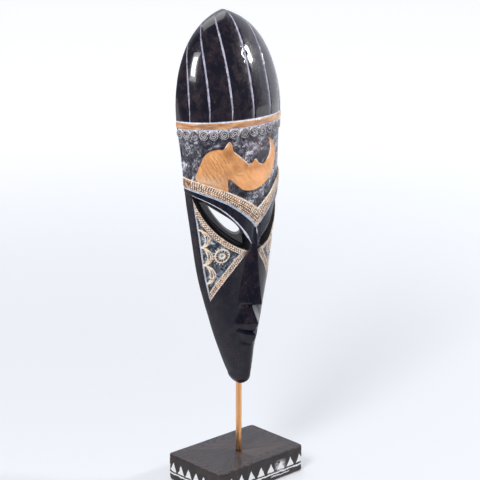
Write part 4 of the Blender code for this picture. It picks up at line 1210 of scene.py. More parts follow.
def paintOver(name, paint, under, loss, size=1.2, stain=None):
    # brushed paint, broken up where it has worn to what lies under it
    material, tree, shader = newFinish(name, **{"Coat Weight": 0.15, "Coat Roughness": 0.25})
    place = objectPlace(tree)
    worn = placeGroup(tree, "paintWear", {"Place": place, "Size": size, "Loss": loss})
    soil = noise(tree, place, 0.35, 3.0, 0.6).outputs["Fac"]
    colour = blend(tree, span(tree, soil, 0.35, 0.7, 0.0, 0.4), paint, stain or under)
    colour = blend(tree, worn["Cover"], under, colour)
    dress(tree, shader, colour, span(tree, worn["Cover"], 0.0, 1.0, 0.35, 0.6), worn["Thick"], 0.06)
    return material


def borderFinish():
    # the tan ground of the borders, with painted shade in every corner between the strokes
    material, tree, shader = newFinish("borderTan", **{"Coat Weight": 0.2, "Coat Roughness": 0.2})
    place = chartSpot(tree)
    cloud = placeGroup(tree, "blotches", {"Place": place, "Size": 3.4, "Fleck Size": 0.9})
    edge = ridgeAndCornerShade(tree, place, 0.3)
    colour = ramp(tree, cloud["Blotch"], (0.0, (0.11, 0.07, 0.055)), (0.4, (0.24, 0.13, 0.075)),
                  (0.7, (0.58, 0.27, 0.1)), (1.0, (0.66, 0.48, 0.33)))
    grey = noise(tree, place, 0.16, 2.0).outputs["Fac"]
    colour = blend(tree, span(tree, grey, 0.5, 0.66, 0.0, 0.6), colour, (0.3, 0.28, 0.26))
    colour = blend(tree, calc(tree, "MULTIPLY", cloud["Fleck"], 0.7), colour, (0.07, 0.035, 0.02))
    colour = blend(tree, calc(tree, "MULTIPLY", edge["Ridge"], 0.7), colour, (0.84, 0.74, 0.62))
    # painted shade in the corners
    colour = blend(tree, calc(tree, "MULTIPLY", edge["CornerShade"], 0.6), colour, (0.1, 0.05, 0.03))
    dress(tree, shader, colour, 0.45, cloud["Blotch"], 0.08)
    return material


def tanFinish():
    # the animal: warm stain with faint slanting tool marks, painted shade in its folds and corners, painted
    # highlight on its muzzle, horn and cheek
    material, tree, shader = newFinish("tanCarving", **{"Coat Weight": 0.3, "Coat Roughness": 0.22})
    place = chartSpot(tree)
    slant = mapped(tree, place, turn=(0.0, 0.0, -0.5))
    fibre = placeGroup(tree, "grain", {"Place": slant, "Size": 0.55, "Length": 9.0})
    cloud = placeGroup(tree, "blotches", {"Place": place, "Size": 7.0, "Fleck Size": 0.8})
    edge = ridgeAndCornerShade(tree, place, 0.4)
    colour = blend(tree, cloud["Blotch"], (0.6, 0.25, 0.07), (0.78, 0.36, 0.12))
    colour = blend(tree, calc(tree, "MULTIPLY", fibre["Streak"], 0.5), colour, (0.46, 0.18, 0.05))
    colour = blend(tree, calc(tree, "MULTIPLY", fibre["Grain"], 0.3), colour, (0.88, 0.52, 0.27))
    # painted shade in the animal's folds
    colour = blend(tree, spotValue(tree, "shade"), colour, (0.3, 0.085, 0.015))
    # painted highlight on the muzzle, horn and cheek
    colour = blend(tree, spotValue(tree, "glow"), colour, (0.98, 0.45, 0.19))
    colour = blend(tree, spotValue(tree, "speckle"), colour, (0.8, 0.66, 0.5))
    # painted shade in the corners
    colour = blend(tree, calc(tree, "MULTIPLY", edge["CornerShade"], 0.6), colour, (0.28, 0.11, 0.04))
    colour = blend(tree, calc(tree, "MULTIPLY", edge["Ridge"], 0.3), colour, (0.93, 0.66, 0.44))
    dress(tree, shader, colour, span(tree, fibre["Grain"], 0.0, 1.0, 0.34, 0.48), fibre["Grain"], 0.06)
    return material


def bandFinish():
    # the moulded band: streaks run round the mask, with rubbed patches of darker stain
    material, tree, shader = newFinish("bandTan", **{"Coat Weight": 0.5, "Coat Roughness": 0.12})
    place = chartSpot(tree)
    fibre = placeGroup(tree, "grain", {"Place": mapped(tree, place, turn=(0.0, 0.0, math.pi / 2)),
                                       "Size": 0.8, "Length": 12.0})
    cloud = placeGroup(tree, "blotches", {"Place": mapped(tree, place, (0.5, 1.0, 1.0)), "Size": 6.0})
    colour = blend(tree, fibre["Streak"], (0.72, 0.36, 0.13), (0.42, 0.13, 0.022))
    colour = blend(tree, calc(tree, "MULTIPLY", cloud["Blotch"], 0.9), colour, (0.2, 0.075, 0.025))
    colour = blend(tree, calc(tree, "MULTIPLY", fibre["Grain"], 0.35), colour, (0.9, 0.62, 0.4))
    dress(tree, shader, colour, 0.32, fibre["Grain"], 0.04)
    return material


def insideFinish():
    material, tree, shader = newFinish("insideWood", **{"Coat Weight": 0.1, "Coat Roughness": 0.3})
    place = objectPlace(tree)
    fibre = placeGroup(tree, "grain", {"Place": uprightPlace(tree, place), "Size": 0.9,
                                       "Length": 18.0})
    cloud = placeGroup(tree, "blotches", {"Place": place, "Size": 14.0, "Fleck Size": 1.6})
    colour = blend(tree, fibre["Streak"], (0.075, 0.038, 0.022), (0.03, 0.016, 0.011))
    colour = blend(tree, calc(tree, "MULTIPLY", cloud["Blotch"], 0.5), colour, (0.02, 0.014, 0.013))
    colour = blend(tree, calc(tree, "MULTIPLY", cloud["Fleck"], 0.4), colour, (0.17, 0.09, 0.05))
    dress(tree, shader, colour, span(tree, fibre["Grain"], 0.0, 1.0, 0.5, 0.75), fibre["Grain"], 0.1)
    return material


# one finish in a shaded and a lit copy: painted shade makes the socket near black, painted light makes the
# lids a paler charcoal
def lidFinish(name, dark, pale, rubbed):
    material, tree, shader = newFinish(name, **{"Coat Weight": 0.2, "Coat Roughness": 0.25})
    place = objectPlace(tree)
    fibre = placeGroup(tree, "grain", {"Place": uprightPlace(tree, place), "Size": 0.5})
    edge = ridgeAndCornerShade(tree, place)
    colour = blend(tree, fibre["Grain"], dark, pale)
    colour = blend(tree, calc(tree, "MULTIPLY", edge["Ridge"], 0.5), colour, rubbed)
    dress(tree, shader, colour, 0.46, fibre["Grain"], 0.05)
    return material


def rodFinish():
    # drawn metal rod: fine lines along it, browner where it was handled, with painted shade at its foot where
    # it enters the plinth
    material, tree, shader = newFinish("copperRod", Metallic=1.0)
    place = objectPlace(tree)
    line = placeGroup(tree, "grain", {"Place": uprightPlace(tree, place), "Size": 0.35,
                                      "Length": 60.0})
    cloud = placeGroup(tree, "blotches", {"Place": mapped(tree, place, (1.0, 1.0, 0.3)), "Size": 4.0})
    height = addNode(tree, "ShaderNodeSeparateXYZ", {0: place}).outputs["Z"]
    colour = blend(tree, line["Streak"], (0.86, 0.46, 0.22), (0.76, 0.37, 0.155))
    colour = blend(tree, calc(tree, "MULTIPLY", cloud["Blotch"], 0.3), colour, (0.6, 0.27, 0.11))
    # painted shade round the foot of the rod
    foot = span(tree, height, plinthHigh.z / mm - 0.2, plinthHigh.z / mm + 2.4, 0.75, 0.0)
    colour = blend(tree, foot, colour, (0.16, 0.055, 0.025))
    dress(tree, shader, colour, span(tree, line["Grain"], 0.0, 1.0, 0.22, 0.36), line["Grain"], 0.01)
    return material


plinthPaint = {
    "pitch": (11.4, 9.8), "start": (-0.9, 6.0), "base": 8.4, "foot": 9.4, "height": 8.0,
    "line": 7.2, "lineWidth": 1.3, "wobble": 1.1, "rough": 0.85,
}


def plinthFinish():
    # dark satin block, with a row of pale triangles over a line painted by hand round its sides
    p = plinthPaint
    material, tree, shader = newFinish("plinthWood", **{"Coat Weight": 0.1, "Coat Roughness": 0.3,
                                                        "Specular IOR Level": 0.3})
    place = objectPlace(tree)
    facing = addNode(tree, "ShaderNodeNewGeometry").outputs["True Normal"]
    facing = addNode(tree, "ShaderNodeSeparateXYZ", {0: facing}).outputs
    shake = noise(tree, place, 0.22, 2.0).outputs["Color"]
    shake = addNode(tree, "ShaderNodeVectorMath", {0: shake, 1: (0.5, 0.5, 0.5)},
                    operation="SUBTRACT").outputs[0]
    shake = addNode(tree, "ShaderNodeVectorMath", {0: shake, "Scale": p["wobble"] * 2.4},
                    operation="SCALE").outputs[0]
    drawn = addNode(tree, "ShaderNodeVectorMath", {0: shake, 1: place}, operation="ADD").outputs[0]
    spot = addNode(tree, "ShaderNodeSeparateXYZ", {0: drawn}).outputs
    flank = calc(tree, "GREATER_THAN", calc(tree, "ABSOLUTE", facing["X"]), 0.707)
    steps = []
    for run, pitch, start in (("X", p["pitch"][0], p["start"][0]), ("Y", p["pitch"][1], p["start"][1])):
        step = calc(tree, "PINGPONG", calc(tree, "SUBTRACT", spot[run], start), pitch / 2)
        steps.append(step)
    away = calc(tree, "ADD", calc(tree, "MULTIPLY", steps[0], calc(tree, "SUBTRACT", 1.0, flank)),
                calc(tree, "MULTIPLY", steps[1], flank))  # distance from the middle of the nearest triangle
    up = calc(tree, "DIVIDE", calc(tree, "SUBTRACT", spot["Z"], p["foot"]), p["height"])
    slope = calc(tree, "MULTIPLY", calc(tree, "SUBTRACT", 1.0, up), p["base"] / 2)
    inSides = span(tree, calc(tree, "SUBTRACT", slope, away), -0.15, 0.3)
    triangle = calc(tree, "MULTIPLY", inSides, span(tree, spot["Z"], p["foot"] - 0.25, p["foot"] + 0.15))
    offLine = calc(tree, "ABSOLUTE", calc(tree, "SUBTRACT", spot["Z"], p["line"]))
    line = span(tree, offLine, p["lineWidth"] / 2 - 0.2, p["lineWidth"] / 2 + 0.2, 1.0, 0.0)
    second = calc(tree, "ABSOLUTE", calc(tree, "SUBTRACT", spot["Z"], p["line"] - 2.5))
    second = span(tree, second, 0.3, 0.75, 1.0, 0.0)
    smear = noise(tree, mapped(tree, place, (0.4, 0.5, 1.3), (0.0, 0.6, 0.0)), 0.3, 2.0, 0.5).outputs["Fac"]
    still = addNode(tree, "ShaderNodeSeparateXYZ", {0: place}).outputs
    onFront = calc(tree, "MULTIPLY", calc(tree, "LESS_THAN", facing["Y"], -0.5), p["rough"])
    byX = calc(tree, "ABSOLUTE", calc(tree, "SUBTRACT", still["X"], 21.5))
    second = calc(tree, "MULTIPLY", second, span(tree, byX, 9.0, 12.0, 1.0, 0.0))
    second = calc(tree, "MULTIPLY", second, onFront)
    byZ = calc(tree, "ABSOLUTE", calc(tree, "SUBTRACT", still["Z"], 12.5))
    inSmear = calc(tree, "MULTIPLY", span(tree, byX, 2.0, 7.5, 1.0, 0.0), span(tree, byZ, 2.0, 6.5, 1.0, 0.0))
    smear = calc(tree, "MULTIPLY", calc(tree, "MULTIPLY", span(tree, smear, 0.34, 0.6), inSmear), onFront)
    paint = calc(tree, "MAXIMUM", calc(tree, "MAXIMUM", triangle, line), calc(tree, "MAXIMUM", second, smear))
    worn = placeGroup(tree, "paintWear", {"Place": place, "Size": 1.4, "Loss": 0.34})
    sideways = calc(tree, "LESS_THAN", calc(tree, "ABSOLUTE", facing["Z"]), 0.5)
    paint = calc(tree, "MULTIPLY", calc(tree, "MULTIPLY", paint, worn["Cover"]), sideways)
    fibre = placeGroup(tree, "grain", {"Place": mapped(tree, place, turn=(0.0, 0.0, math.pi / 2)),
                                       "Size": 0.7, "Length": 16.0})
    cloud = placeGroup(tree, "blotches", {"Place": place, "Size": 11.0, "Fleck Size": 1.1})
    colour = blend(tree, calc(tree, "MULTIPLY", cloud["Blotch"], 0.7), (0.02, 0.015, 0.017),
                   (0.045, 0.03, 0.027))
    colour = blend(tree, calc(tree, "MULTIPLY", cloud["Fleck"], 0.6), colour, (0.16, 0.1, 0.07))
    colour = blend(tree, calc(tree, "MULTIPLY", fibre["Grain"], 0.25), colour, (0.012, 0.01, 0.012))
    top = span(tree, facing["Z"], 0.6, 0.9)
    topColour = blend(tree, fibre["Streak"], (0.017, 0.018, 0.027), (0.034, 0.028, 0.034))
    colour = blend(tree, top, colour, topColour)
    colour = blend(tree, spotValue(tree, "worn"), colour, (0.11, 0.075, 0.06))
    colour = blend(tree, paint, colour, (0.8, 0.8, 0.8))
    roughness = calc(tree, "MAXIMUM", span(tree, fibre["Grain"], 0.0, 1.0, 0.36, 0.5),
                     calc(tree, "MULTIPLY", paint, 0.6))
    height = calc(tree, "ADD", calc(tree, "MULTIPLY", fibre["Grain"], 0.25), paint)
    dress(tree, shader, colour, roughness, height, 0.07)
    return material


def dashFinish(name, pale, dark):
    # small strokes of paint, each a little lighter or browner than the next
    material, tree, shader = newFinish(name, **{"Coat Weight": 0.15, "Coat Roughness": 0.25})
    place = objectPlace(tree)
    tone = spotValue(tree, "tone")
    speck = noise(tree, place, 1.3, 3.0, 0.6).outputs["Fac"]
    colour = blend(tree, span(tree, tone, 0.55, 1.0, 0.0, 0.7), pale, dark)
    colour = blend(tree, span(tree, speck, 0.45, 0.75, 0.0, 0.5), colour, dark)
    dress(tree, shader, colour, span(tree, speck, 0.3, 0.7, 0.4, 0.6), speck, 0.05)
    return material


finishes = {
    "darkPolish": polishedWood("darkPolish", (0.006, 0.006, 0.013), (0.03, 0.018, 0.024), (0.13, 0.08, 0.075),
                               7.0, 0.2),
    "navyBrow": polishedWood("navyBrow", (0.008, 0.009, 0.018), (0.02, 0.017, 0.027),
                             (0.05, 0.045, 0.06), 9.0, 0.2),
    "slateGround": carvedGround("slateGround", (0.007, 0.007, 0.017), (0.17, 0.155, 0.19),
                                (0.74, 0.74, 0.82), 1.7),
    "blueGround": carvedGround("blueGround", (0.007, 0.013, 0.027), (0.09, 0.13, 0.18),
                               (0.58, 0.66, 0.72), 1.5),
    # painted shade in the sockets and painted light on the lids, a shaded and a lit copy of one finish
    "shadedSocketBlack": lidFinish("shadedSocketBlack", (0.004, 0.004, 0.006), (0.01, 0.01, 0.013), (0.02, 0.02, 0.024)),
    "litLidCharcoal": lidFinish("litLidCharcoal", (0.022, 0.02, 0.022), (0.042, 0.04, 0.045), (0.1, 0.09, 0.095)),
    "tanCarving": tanFinish(), "bandTan": bandFinish(),
    "borderTan": borderFinish(), "insideWood": insideFinish(),
    "capPaint": paintOver("capPaint", (0.5, 0.49, 0.6), (0.12, 0.11, 0.15), 0.4),
    "scallopPaint": paintOver("scallopPaint", (0.8, 0.8, 0.86), (0.14, 0.12, 0.13), 0.42),
    # painted highlight on the animal's lit edges
    "edgeHighlightPaint": paintOver("edgeHighlightPaint", (0.93, 0.8, 0.72), (0.55, 0.3, 0.16), 0.42),
    "whitePaint": paintOver("whitePaint", (0.78, 0.78, 0.88), (0.12, 0.11, 0.15), 0.37),
    "bluePaint": paintOver("bluePaint", (0.56, 0.64, 0.75), (0.09, 0.12, 0.17), 0.41),
    "creamPaint": paintOver("creamPaint", (0.84, 0.76, 0.66), (0.42, 0.24, 0.12), 0.44,
                            stain=(0.7, 0.45, 0.26)),
    "brownStroke": paintOver("brownStroke", (0.4, 0.165, 0.055), (0.58, 0.25, 0.08), 0.48),
}
mask = buildMask(finishes)
print("mask carved:", len(mask.data.polygons), "faces")


# Rows of small raised strokes and the curls, laid on the carved skin
def geometryTree(name, inputs):
    tree = bpy.data.node_groups.new(name, "GeometryNodeTree")
    tree.is_modifier = True
    tree.interface.new_socket("Geometry", in_out="INPUT", socket_type="NodeSocketGeometry")
    tree.interface.new_socket("Geometry", in_out="OUTPUT", socket_type="NodeSocketGeometry")
    for label, kind, value in inputs:
        socket = tree.interface.new_socket(label, in_out="INPUT", socket_type=kind)
        if value is not None:
            socket.default_value = value
    return tree, tree.nodes.new("NodeGroupInput").outputs, tree.nodes.new("NodeGroupOutput").inputs


def finishTree(tree, given, out, instances):
    # each stroke keeps a tone of its own, and all become one plain mesh
    tone = addNode(tree, "FunctionNodeRandomValue", data_type="FLOAT")
    fillSocket(tree, tone.inputs["Seed"], given["Seed"])
    kept = addNode(tree, "GeometryNodeStoreNamedAttribute", data_type="FLOAT", domain="INSTANCE")
    fillSocket(tree, kept.inputs["Geometry"], instances)
    fillSocket(tree, kept.inputs["Name"], "tone")
    fillSocket(tree, kept.inputs["Value"], tone.outputs[1])
    plain = addNode(tree, "GeometryNodeRealizeInstances", {"Geometry": kept.outputs[0]}).outputs[0]
    smoothed = addNode(tree, "GeometryNodeSetShadeSmooth", {"Geometry": plain}).outputs[0]
    finished = addNode(tree, "GeometryNodeSetMaterial", {"Geometry": smoothed, "Material": given["Finish"]})
    tree.links.new(finished.outputs[0], out["Geometry"])


def facingTurn(tree, tangent=None):
    # turns a stroke so that it lies on the skin, its length along the tangent
    facing = addNode(tree, "GeometryNodeInputNamedAttribute", data_type="FLOAT_VECTOR")
    facing.inputs["Name"].default_value = "facing"
    upright = addNode(tree, "FunctionNodeAlignRotationToVector", {"Vector": facing.outputs["Attribute"]},
                      axis="Z")
    if tangent is None:
        return upright.outputs[0]
    along = addNode(tree, "FunctionNodeAlignRotationToVector",
                    {"Rotation": upright.outputs[0], "Vector": tangent}, axis="X", pivot_axis="Z")
    return along.outputs[0]


def spin(tree, rotation, angle):
    axis = addNode(tree, "FunctionNodeAxisAngleToRotation",
                   {"Axis": (0.0, 0.0, 1.0), "Angle": angle}).outputs[0]
    return addNode(tree, "FunctionNodeRotateRotation", {"Rotation": rotation, "Rotate By": axis},
                   rotation_space="LOCAL").outputs[0]


def makeStrokeTree():
    inputs = (("Pitch", "NodeSocketFloat", 0.0024), ("Length", "NodeSocketFloat", 0.0015),
              ("Width", "NodeSocketFloat", 0.0009), ("Height", "NodeSocketFloat", 0.0003),
              ("Turn", "NodeSocketFloat", 0.0), ("Unevenness", "NodeSocketFloat", 0.2),
              ("Seed", "NodeSocketInt", 1), ("Finish", "NodeSocketMaterial", None))
    tree, given, out = geometryTree("strokesAlongPath", inputs)
    curve = addNode(tree, "GeometryNodeMeshToCurve", {"Mesh": given["Geometry"]}).outputs[0]
    marks = addNode(tree, "GeometryNodeResampleCurve", {"Curve": curve, "Length": given["Pitch"]},
                    mode="LENGTH")
    ball = addNode(tree, "GeometryNodeMeshUVSphere", {"Segments": 8, "Rings": 4, "Radius": 0.5}).outputs[0]
    size = addNode(tree, "ShaderNodeCombineXYZ",
                   {"X": given["Length"], "Y": given["Width"], "Z": given["Height"]})
    stroke = addNode(tree, "GeometryNodeTransform", {"Geometry": ball, "Scale": size.outputs[0]}).outputs[0]
    tangent = addNode(tree, "GeometryNodeInputTangent").outputs[0]
    sway = addNode(tree, "FunctionNodeRandomValue", data_type="FLOAT")
    for index, value in ((2, calc(tree, "MULTIPLY", given["Unevenness"], -1.0)), (3, given["Unevenness"])):
        fillSocket(tree, sway.inputs[index], value)
    fillSocket(tree, sway.inputs["Seed"], calc(tree, "ADD", given["Seed"], 7.0))
    turn = spin(tree, facingTurn(tree, tangent), calc(tree, "ADD", given["Turn"], sway.outputs[1]))
    grow = addNode(tree, "FunctionNodeRandomValue", data_type="FLOAT_VECTOR")
    for index, sign in ((0, -1.0), (1, 1.0)):
        reach = calc(tree, "MULTIPLY_ADD", given["Unevenness"], sign, 1.0)
        fillSocket(tree, grow.inputs[index],
                   addNode(tree, "ShaderNodeCombineXYZ", {"X": reach, "Y": reach, "Z": 1.0}).outputs[0])
    fillSocket(tree, grow.inputs["Seed"], given["Seed"])
    placed = addNode(tree, "GeometryNodeInstanceOnPoints",
                     {"Points": marks.outputs[0], "Instance": stroke, "Rotation": turn,
                      "Scale": grow.outputs[0]})
    finishTree(tree, given, out, placed.outputs[0])
    return tree


def makeCurlTree():
    inputs = (("Radius", "NodeSocketFloat", 0.0036), ("Turns", "NodeSocketFloat", 2.0),
              ("Thickness", "NodeSocketFloat", 0.0004), ("Rise", "NodeSocketFloat", 0.0005),
              ("Seed", "NodeSocketInt", 1), ("Finish", "NodeSocketMaterial", None))
    tree, given, out = geometryTree("curlOnPoints", inputs)
    spiral = addNode(tree, "GeometryNodeCurveSpiral",
                     {"Resolution": 18, "Rotations": given["Turns"], "Start Radius": 0.0006,
                      "End Radius": given["Radius"], "Height": 0.0}).outputs[0]
    wire = addNode(tree, "GeometryNodeCurvePrimitiveCircle", {"Resolution": 6, "Radius": given["Thickness"]})
    cord = addNode(tree, "GeometryNodeCurveToMesh",
                   {"Curve": spiral, "Profile Curve": wire.outputs[0], "Fill Caps": True}).outputs[0]
    angle = addNode(tree, "FunctionNodeRandomValue", data_type="FLOAT")
    for index, value in ((2, -0.6), (3, 0.6)):
        angle.inputs[index].default_value = value
    fillSocket(tree, angle.inputs["Seed"], given["Seed"])
    lift = addNode(tree, "ShaderNodeCombineXYZ", {"Z": given["Rise"]}).outputs[0]
    raisedCord = addNode(tree, "GeometryNodeTransform", {"Geometry": cord, "Translation": lift}).outputs[0]
    placed = addNode(tree, "GeometryNodeInstanceOnPoints",
                     {"Points": given["Geometry"], "Instance": raisedCord,
                      "Rotation": spin(tree, facingTurn(tree), angle.outputs[1])})
    finishTree(tree, given, out, placed.outputs[0])
    return tree


strokeTree, curlTree = makeStrokeTree(), makeCurlTree()
paintedNow, hatchesNow = paintedLines(), hatchLines()


def pathMesh(name, lines, lift, joined=True):
    # chart lines laid on the carved skin, as edges that know which way the skin faces
    points, facing, edges = [], [], []
    for line in lines:
        x, y = np.asarray(line, float).T
        out = bodyNormals(x, y)
        height = (fineRelief(x, y, paintedNow, hatchesNow) + lift) * mm
        placed = body(x, y) + out * height[:, None] + chinPlace
        first = len(points)
        points.extend(placed)
        facing.extend(out)
        if joined:
            edges.extend((first + i, first + i + 1) for i in range(len(line) - 1))
    mesh = bpy.data.meshes.new(name)
    mesh.from_pydata([tuple(p) for p in points], edges, [])
    held = mesh.attributes.new("facing", "FLOAT_VECTOR", "POINT")
    held.data.foreach_set("vector", np.array(facing, np.float32).ravel())
    return mesh


def growPiece(name, mesh, tree, **values):
    piece = addPiece(name, mesh)
    step = piece.modifiers.new("ornament", "NODES")
    step.node_group = tree
    for item in tree.interface.items_tree:
        if item.item_type == "SOCKET" and item.in_out == "INPUT" and item.name in values:
            step[item.identifier] = values[item.name]
    made = bpy.data.meshes.new_from_object(piece.evaluated_get(bpy.context.evaluated_depsgraph_get()))
    piece.modifiers.remove(step)
    piece.data = made
    made.name = name
    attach(piece, "root")
    print(name, len(made.polygons), "faces")
    return piece


def bothSides(lines):
    return [np.asarray(line) * (side, 1.0) for line in lines for side in (1.0, -1.0)]


def within(line, low, high):
    line = np.asarray(line)
    return line[(line[:, 0] > low) & (line[:, 0] < high)]


def cheekRows(*insets):
    rows = []
    for inset in insets:
        row = offset(socketFoot(120), -inset, False)
        rows.append(row[(row[:, 0] > 7.5 + inset) & (row[:, 0] < cheekSide(row[:, 1]) - 1.6)])
    return bothSides(rows)


def borderRows(*shares):
    x = np.linspace(-54.0, 54.0, 240)
    return [np.stack([x, borderShare(x, share)], 1) for share in shares]


def slopeRows(*insets):
    return bothSides([within(offset(cheekSlope(80), -inset, False), 7.5, 33.0) for inset in insets])


strokes = {
    # rows, lift, pitch, length, width, height, turn, unevenness, finish
    "cheekDashes": (cheekRows(0.9, 2.25, 3.6), 0.0, 2.1, 1.45, 1.05, 0.8, 1.25, 0.25, "creamDash"),
    "borderStrokes": (borderRows(0.72), 0.0, 2.0, 2.6, 1.05, 0.7, 1.5, 0.3, "creamDash"),
    "borderBrown": (borderRows(0.5), 0.0, 1.9, 1.6, 0.9, 0.5, 1.45, 0.35, "brownDash"),
    "borderDots": (borderRows(0.33, 0.53, 0.9), 0.0, 1.9, 1.35, 1.0, 0.8, 1.4, 0.3, "creamDash"),
    "borderGrey": (borderRows(0.14), 0.0, 1.7, 1.15, 0.9, 0.7, 1.2, 0.3, "greyDash"),
    "slopeDashes": (slopeRows(1.0, 4.0), 0.0, 1.8, 1.25, 1.0, 0.7, 1.3, 0.3, "creamDash"),
    "slopeGrey": (slopeRows(2.5), 0.0, 1.9, 1.5, 0.8, 0.6, 0.3, 0.3, "greyDash"),
}
rosetteMiddle = np.array(cheekLook["rosette"])


def rosetteRays():
    # short rays between the rosette's rings, and ticks outside it
    rays = []
    for count, inner, outer in ((13, 2.9, 4.7), (18, 6.5, 7.6)):
        for k in range(count):
            angle = 2 * math.pi * k / count
            if outer > 7.0 and not -1.9 < math.remainder(angle, 2 * math.pi) < 1.4:
                continue
            way = np.array([math.cos(angle), math.sin(angle)])
            rays.append(np.array([rosetteMiddle + way * inner, rosetteMiddle + way * outer]))
    return bothSides(rays)


def neckRows():
    # dots over the foot of the animal's neck
    rows = []
    for rise, low, high in ((0.4, -50.0, -24.0), (2.4, -49.0, -24.5)):
        x = np.linspace(low, high, 60)
        rows.append(np.stack([x, borderTop(x) + rise], 1))
    return rows


strokes["rosetteRays"] = (rosetteRays(), 0.0, 1.6, 1.5, 0.6, 0.6, 0.0, 0.15, "creamDash")
strokes["neckDots"] = (neckRows(), 0.0, 2.2, 1.1, 0.8, 0.5, 0.9, 0.35, "neckDash")
dashes = {
    "creamDash": dashFinish("creamDash", (0.86, 0.77, 0.67), (0.66, 0.36, 0.17)),
    "neckDash": dashFinish("neckDash", (0.82, 0.5, 0.27), (0.62, 0.3, 0.12)),
    "brownDash": dashFinish("brownDash", (0.62, 0.28, 0.1), (0.2, 0.09, 0.04)),
    "greyDash": dashFinish("greyDash", (0.7, 0.7, 0.7), (0.36, 0.32, 0.3)),
    "curlLine": dashFinish("curlLine", (0.55, 0.5, 0.5), (0.2, 0.12, 0.08)),
}
for number, (name, row) in enumerate(strokes.items()):
    lines, lift, pitch, length, width, height, turn, unevenness, finish = row
    growPiece(name, pathMesh(name, lines, lift), strokeTree, Pitch=pitch * mm, Length=length * mm,
              Width=width * mm, Height=height * mm, Turn=turn, Unevenness=unevenness, Seed=number + 3,
              Finish=dashes[finish])
curlSpots = np.array(curlCentres())
growPiece("curls", pathMesh("curls", [curlSpots], 0.0, joined=False), curlTree, Radius=3.5 * mm, Turns=2.1,
          Thickness=0.42 * mm, Rise=0.5 * mm, Seed=12, Finish=dashes["curlLine"])

# Rod and plinth
rodLook = {"radius": (rodHigh.x - rodLow.x) / 2, "chamfer": 0.0004, "sides": 48}


def buildRod():
    r = rodLook
    levels = ((rodLow.z, -r["chamfer"]), (rodLow.z + r["chamfer"], 0.0), (rodHigh.z - r["chamfer"], 0.0),
              (rodHigh.z, -r["chamfer"]))
    rings = [np.column_stack([ring((rodX, rodY), r["radius"] + grow, r["sides"]), np.full(r["sides"], z)])
             for z, grow in levels]
    mesh = lofted("copperRodMesh", rings)
    mesh.materials.append(finishRod)
    mesh.shade_smooth()
    mesh.set_sharp_from_angle(angle=math.radians(30))
    return addPiece("copperRod", mesh)


plinthLook = {"corner": 0.003, "topEdge": 0.001, "footEdge": 0.0028, "worn": 0.00045, "bore": 0.0028,
              "cornerPoints": 8, "longSteps": 42, "shortSteps": 28}


def plinthRing(inset, z):
    # one level of the block: a rounded rectangle drawn in by the inset
    p = plinthLook
    halfX, halfY = plinthHigh.x - inset, plinthHigh.y - inset
    corner = max(p["corner"] - inset * 0.3, 0.0008)
    middles = ((halfX - corner, halfY - corner, 0.0), (corner - halfX, halfY - corner, 90.0),
               (corner - halfX, corner - halfY, 180.0), (halfX - corner, corner - halfY, 270.0))
    points = []
    for k, (cx, cy, start) in enumerate(middles):
        angle = np.radians(start + np.linspace(0.0, 90.0, p["cornerPoints"]))
        arc = np.stack([cx + corner * np.cos(angle), cy + corner * np.sin(angle)], 1)
        nx, ny, turn = middles[(k + 1) % 4]
        turn = math.radians(turn)
        last = np.array([nx + corner * math.cos(turn), ny + corner * math.sin(turn)])
        steps = p["longSteps"] if k % 2 == 0 else p["shortSteps"]
        points.extend(arc)
        points.extend(arc[-1] + (last - arc[-1]) * t for t in np.arange(1, steps) / steps)
    return np.column_stack([points, np.full(len(points), z)])


def cornerShare(x, y, reach):
    # 1 at the block's upright corners, fading over the reach
    fromX, fromY = plinthHigh.x / mm - np.abs(x), plinthHigh.y / mm - np.abs(y)
    return np.exp(-(fromX / reach) ** 2 - (fromY / reach) ** 2)


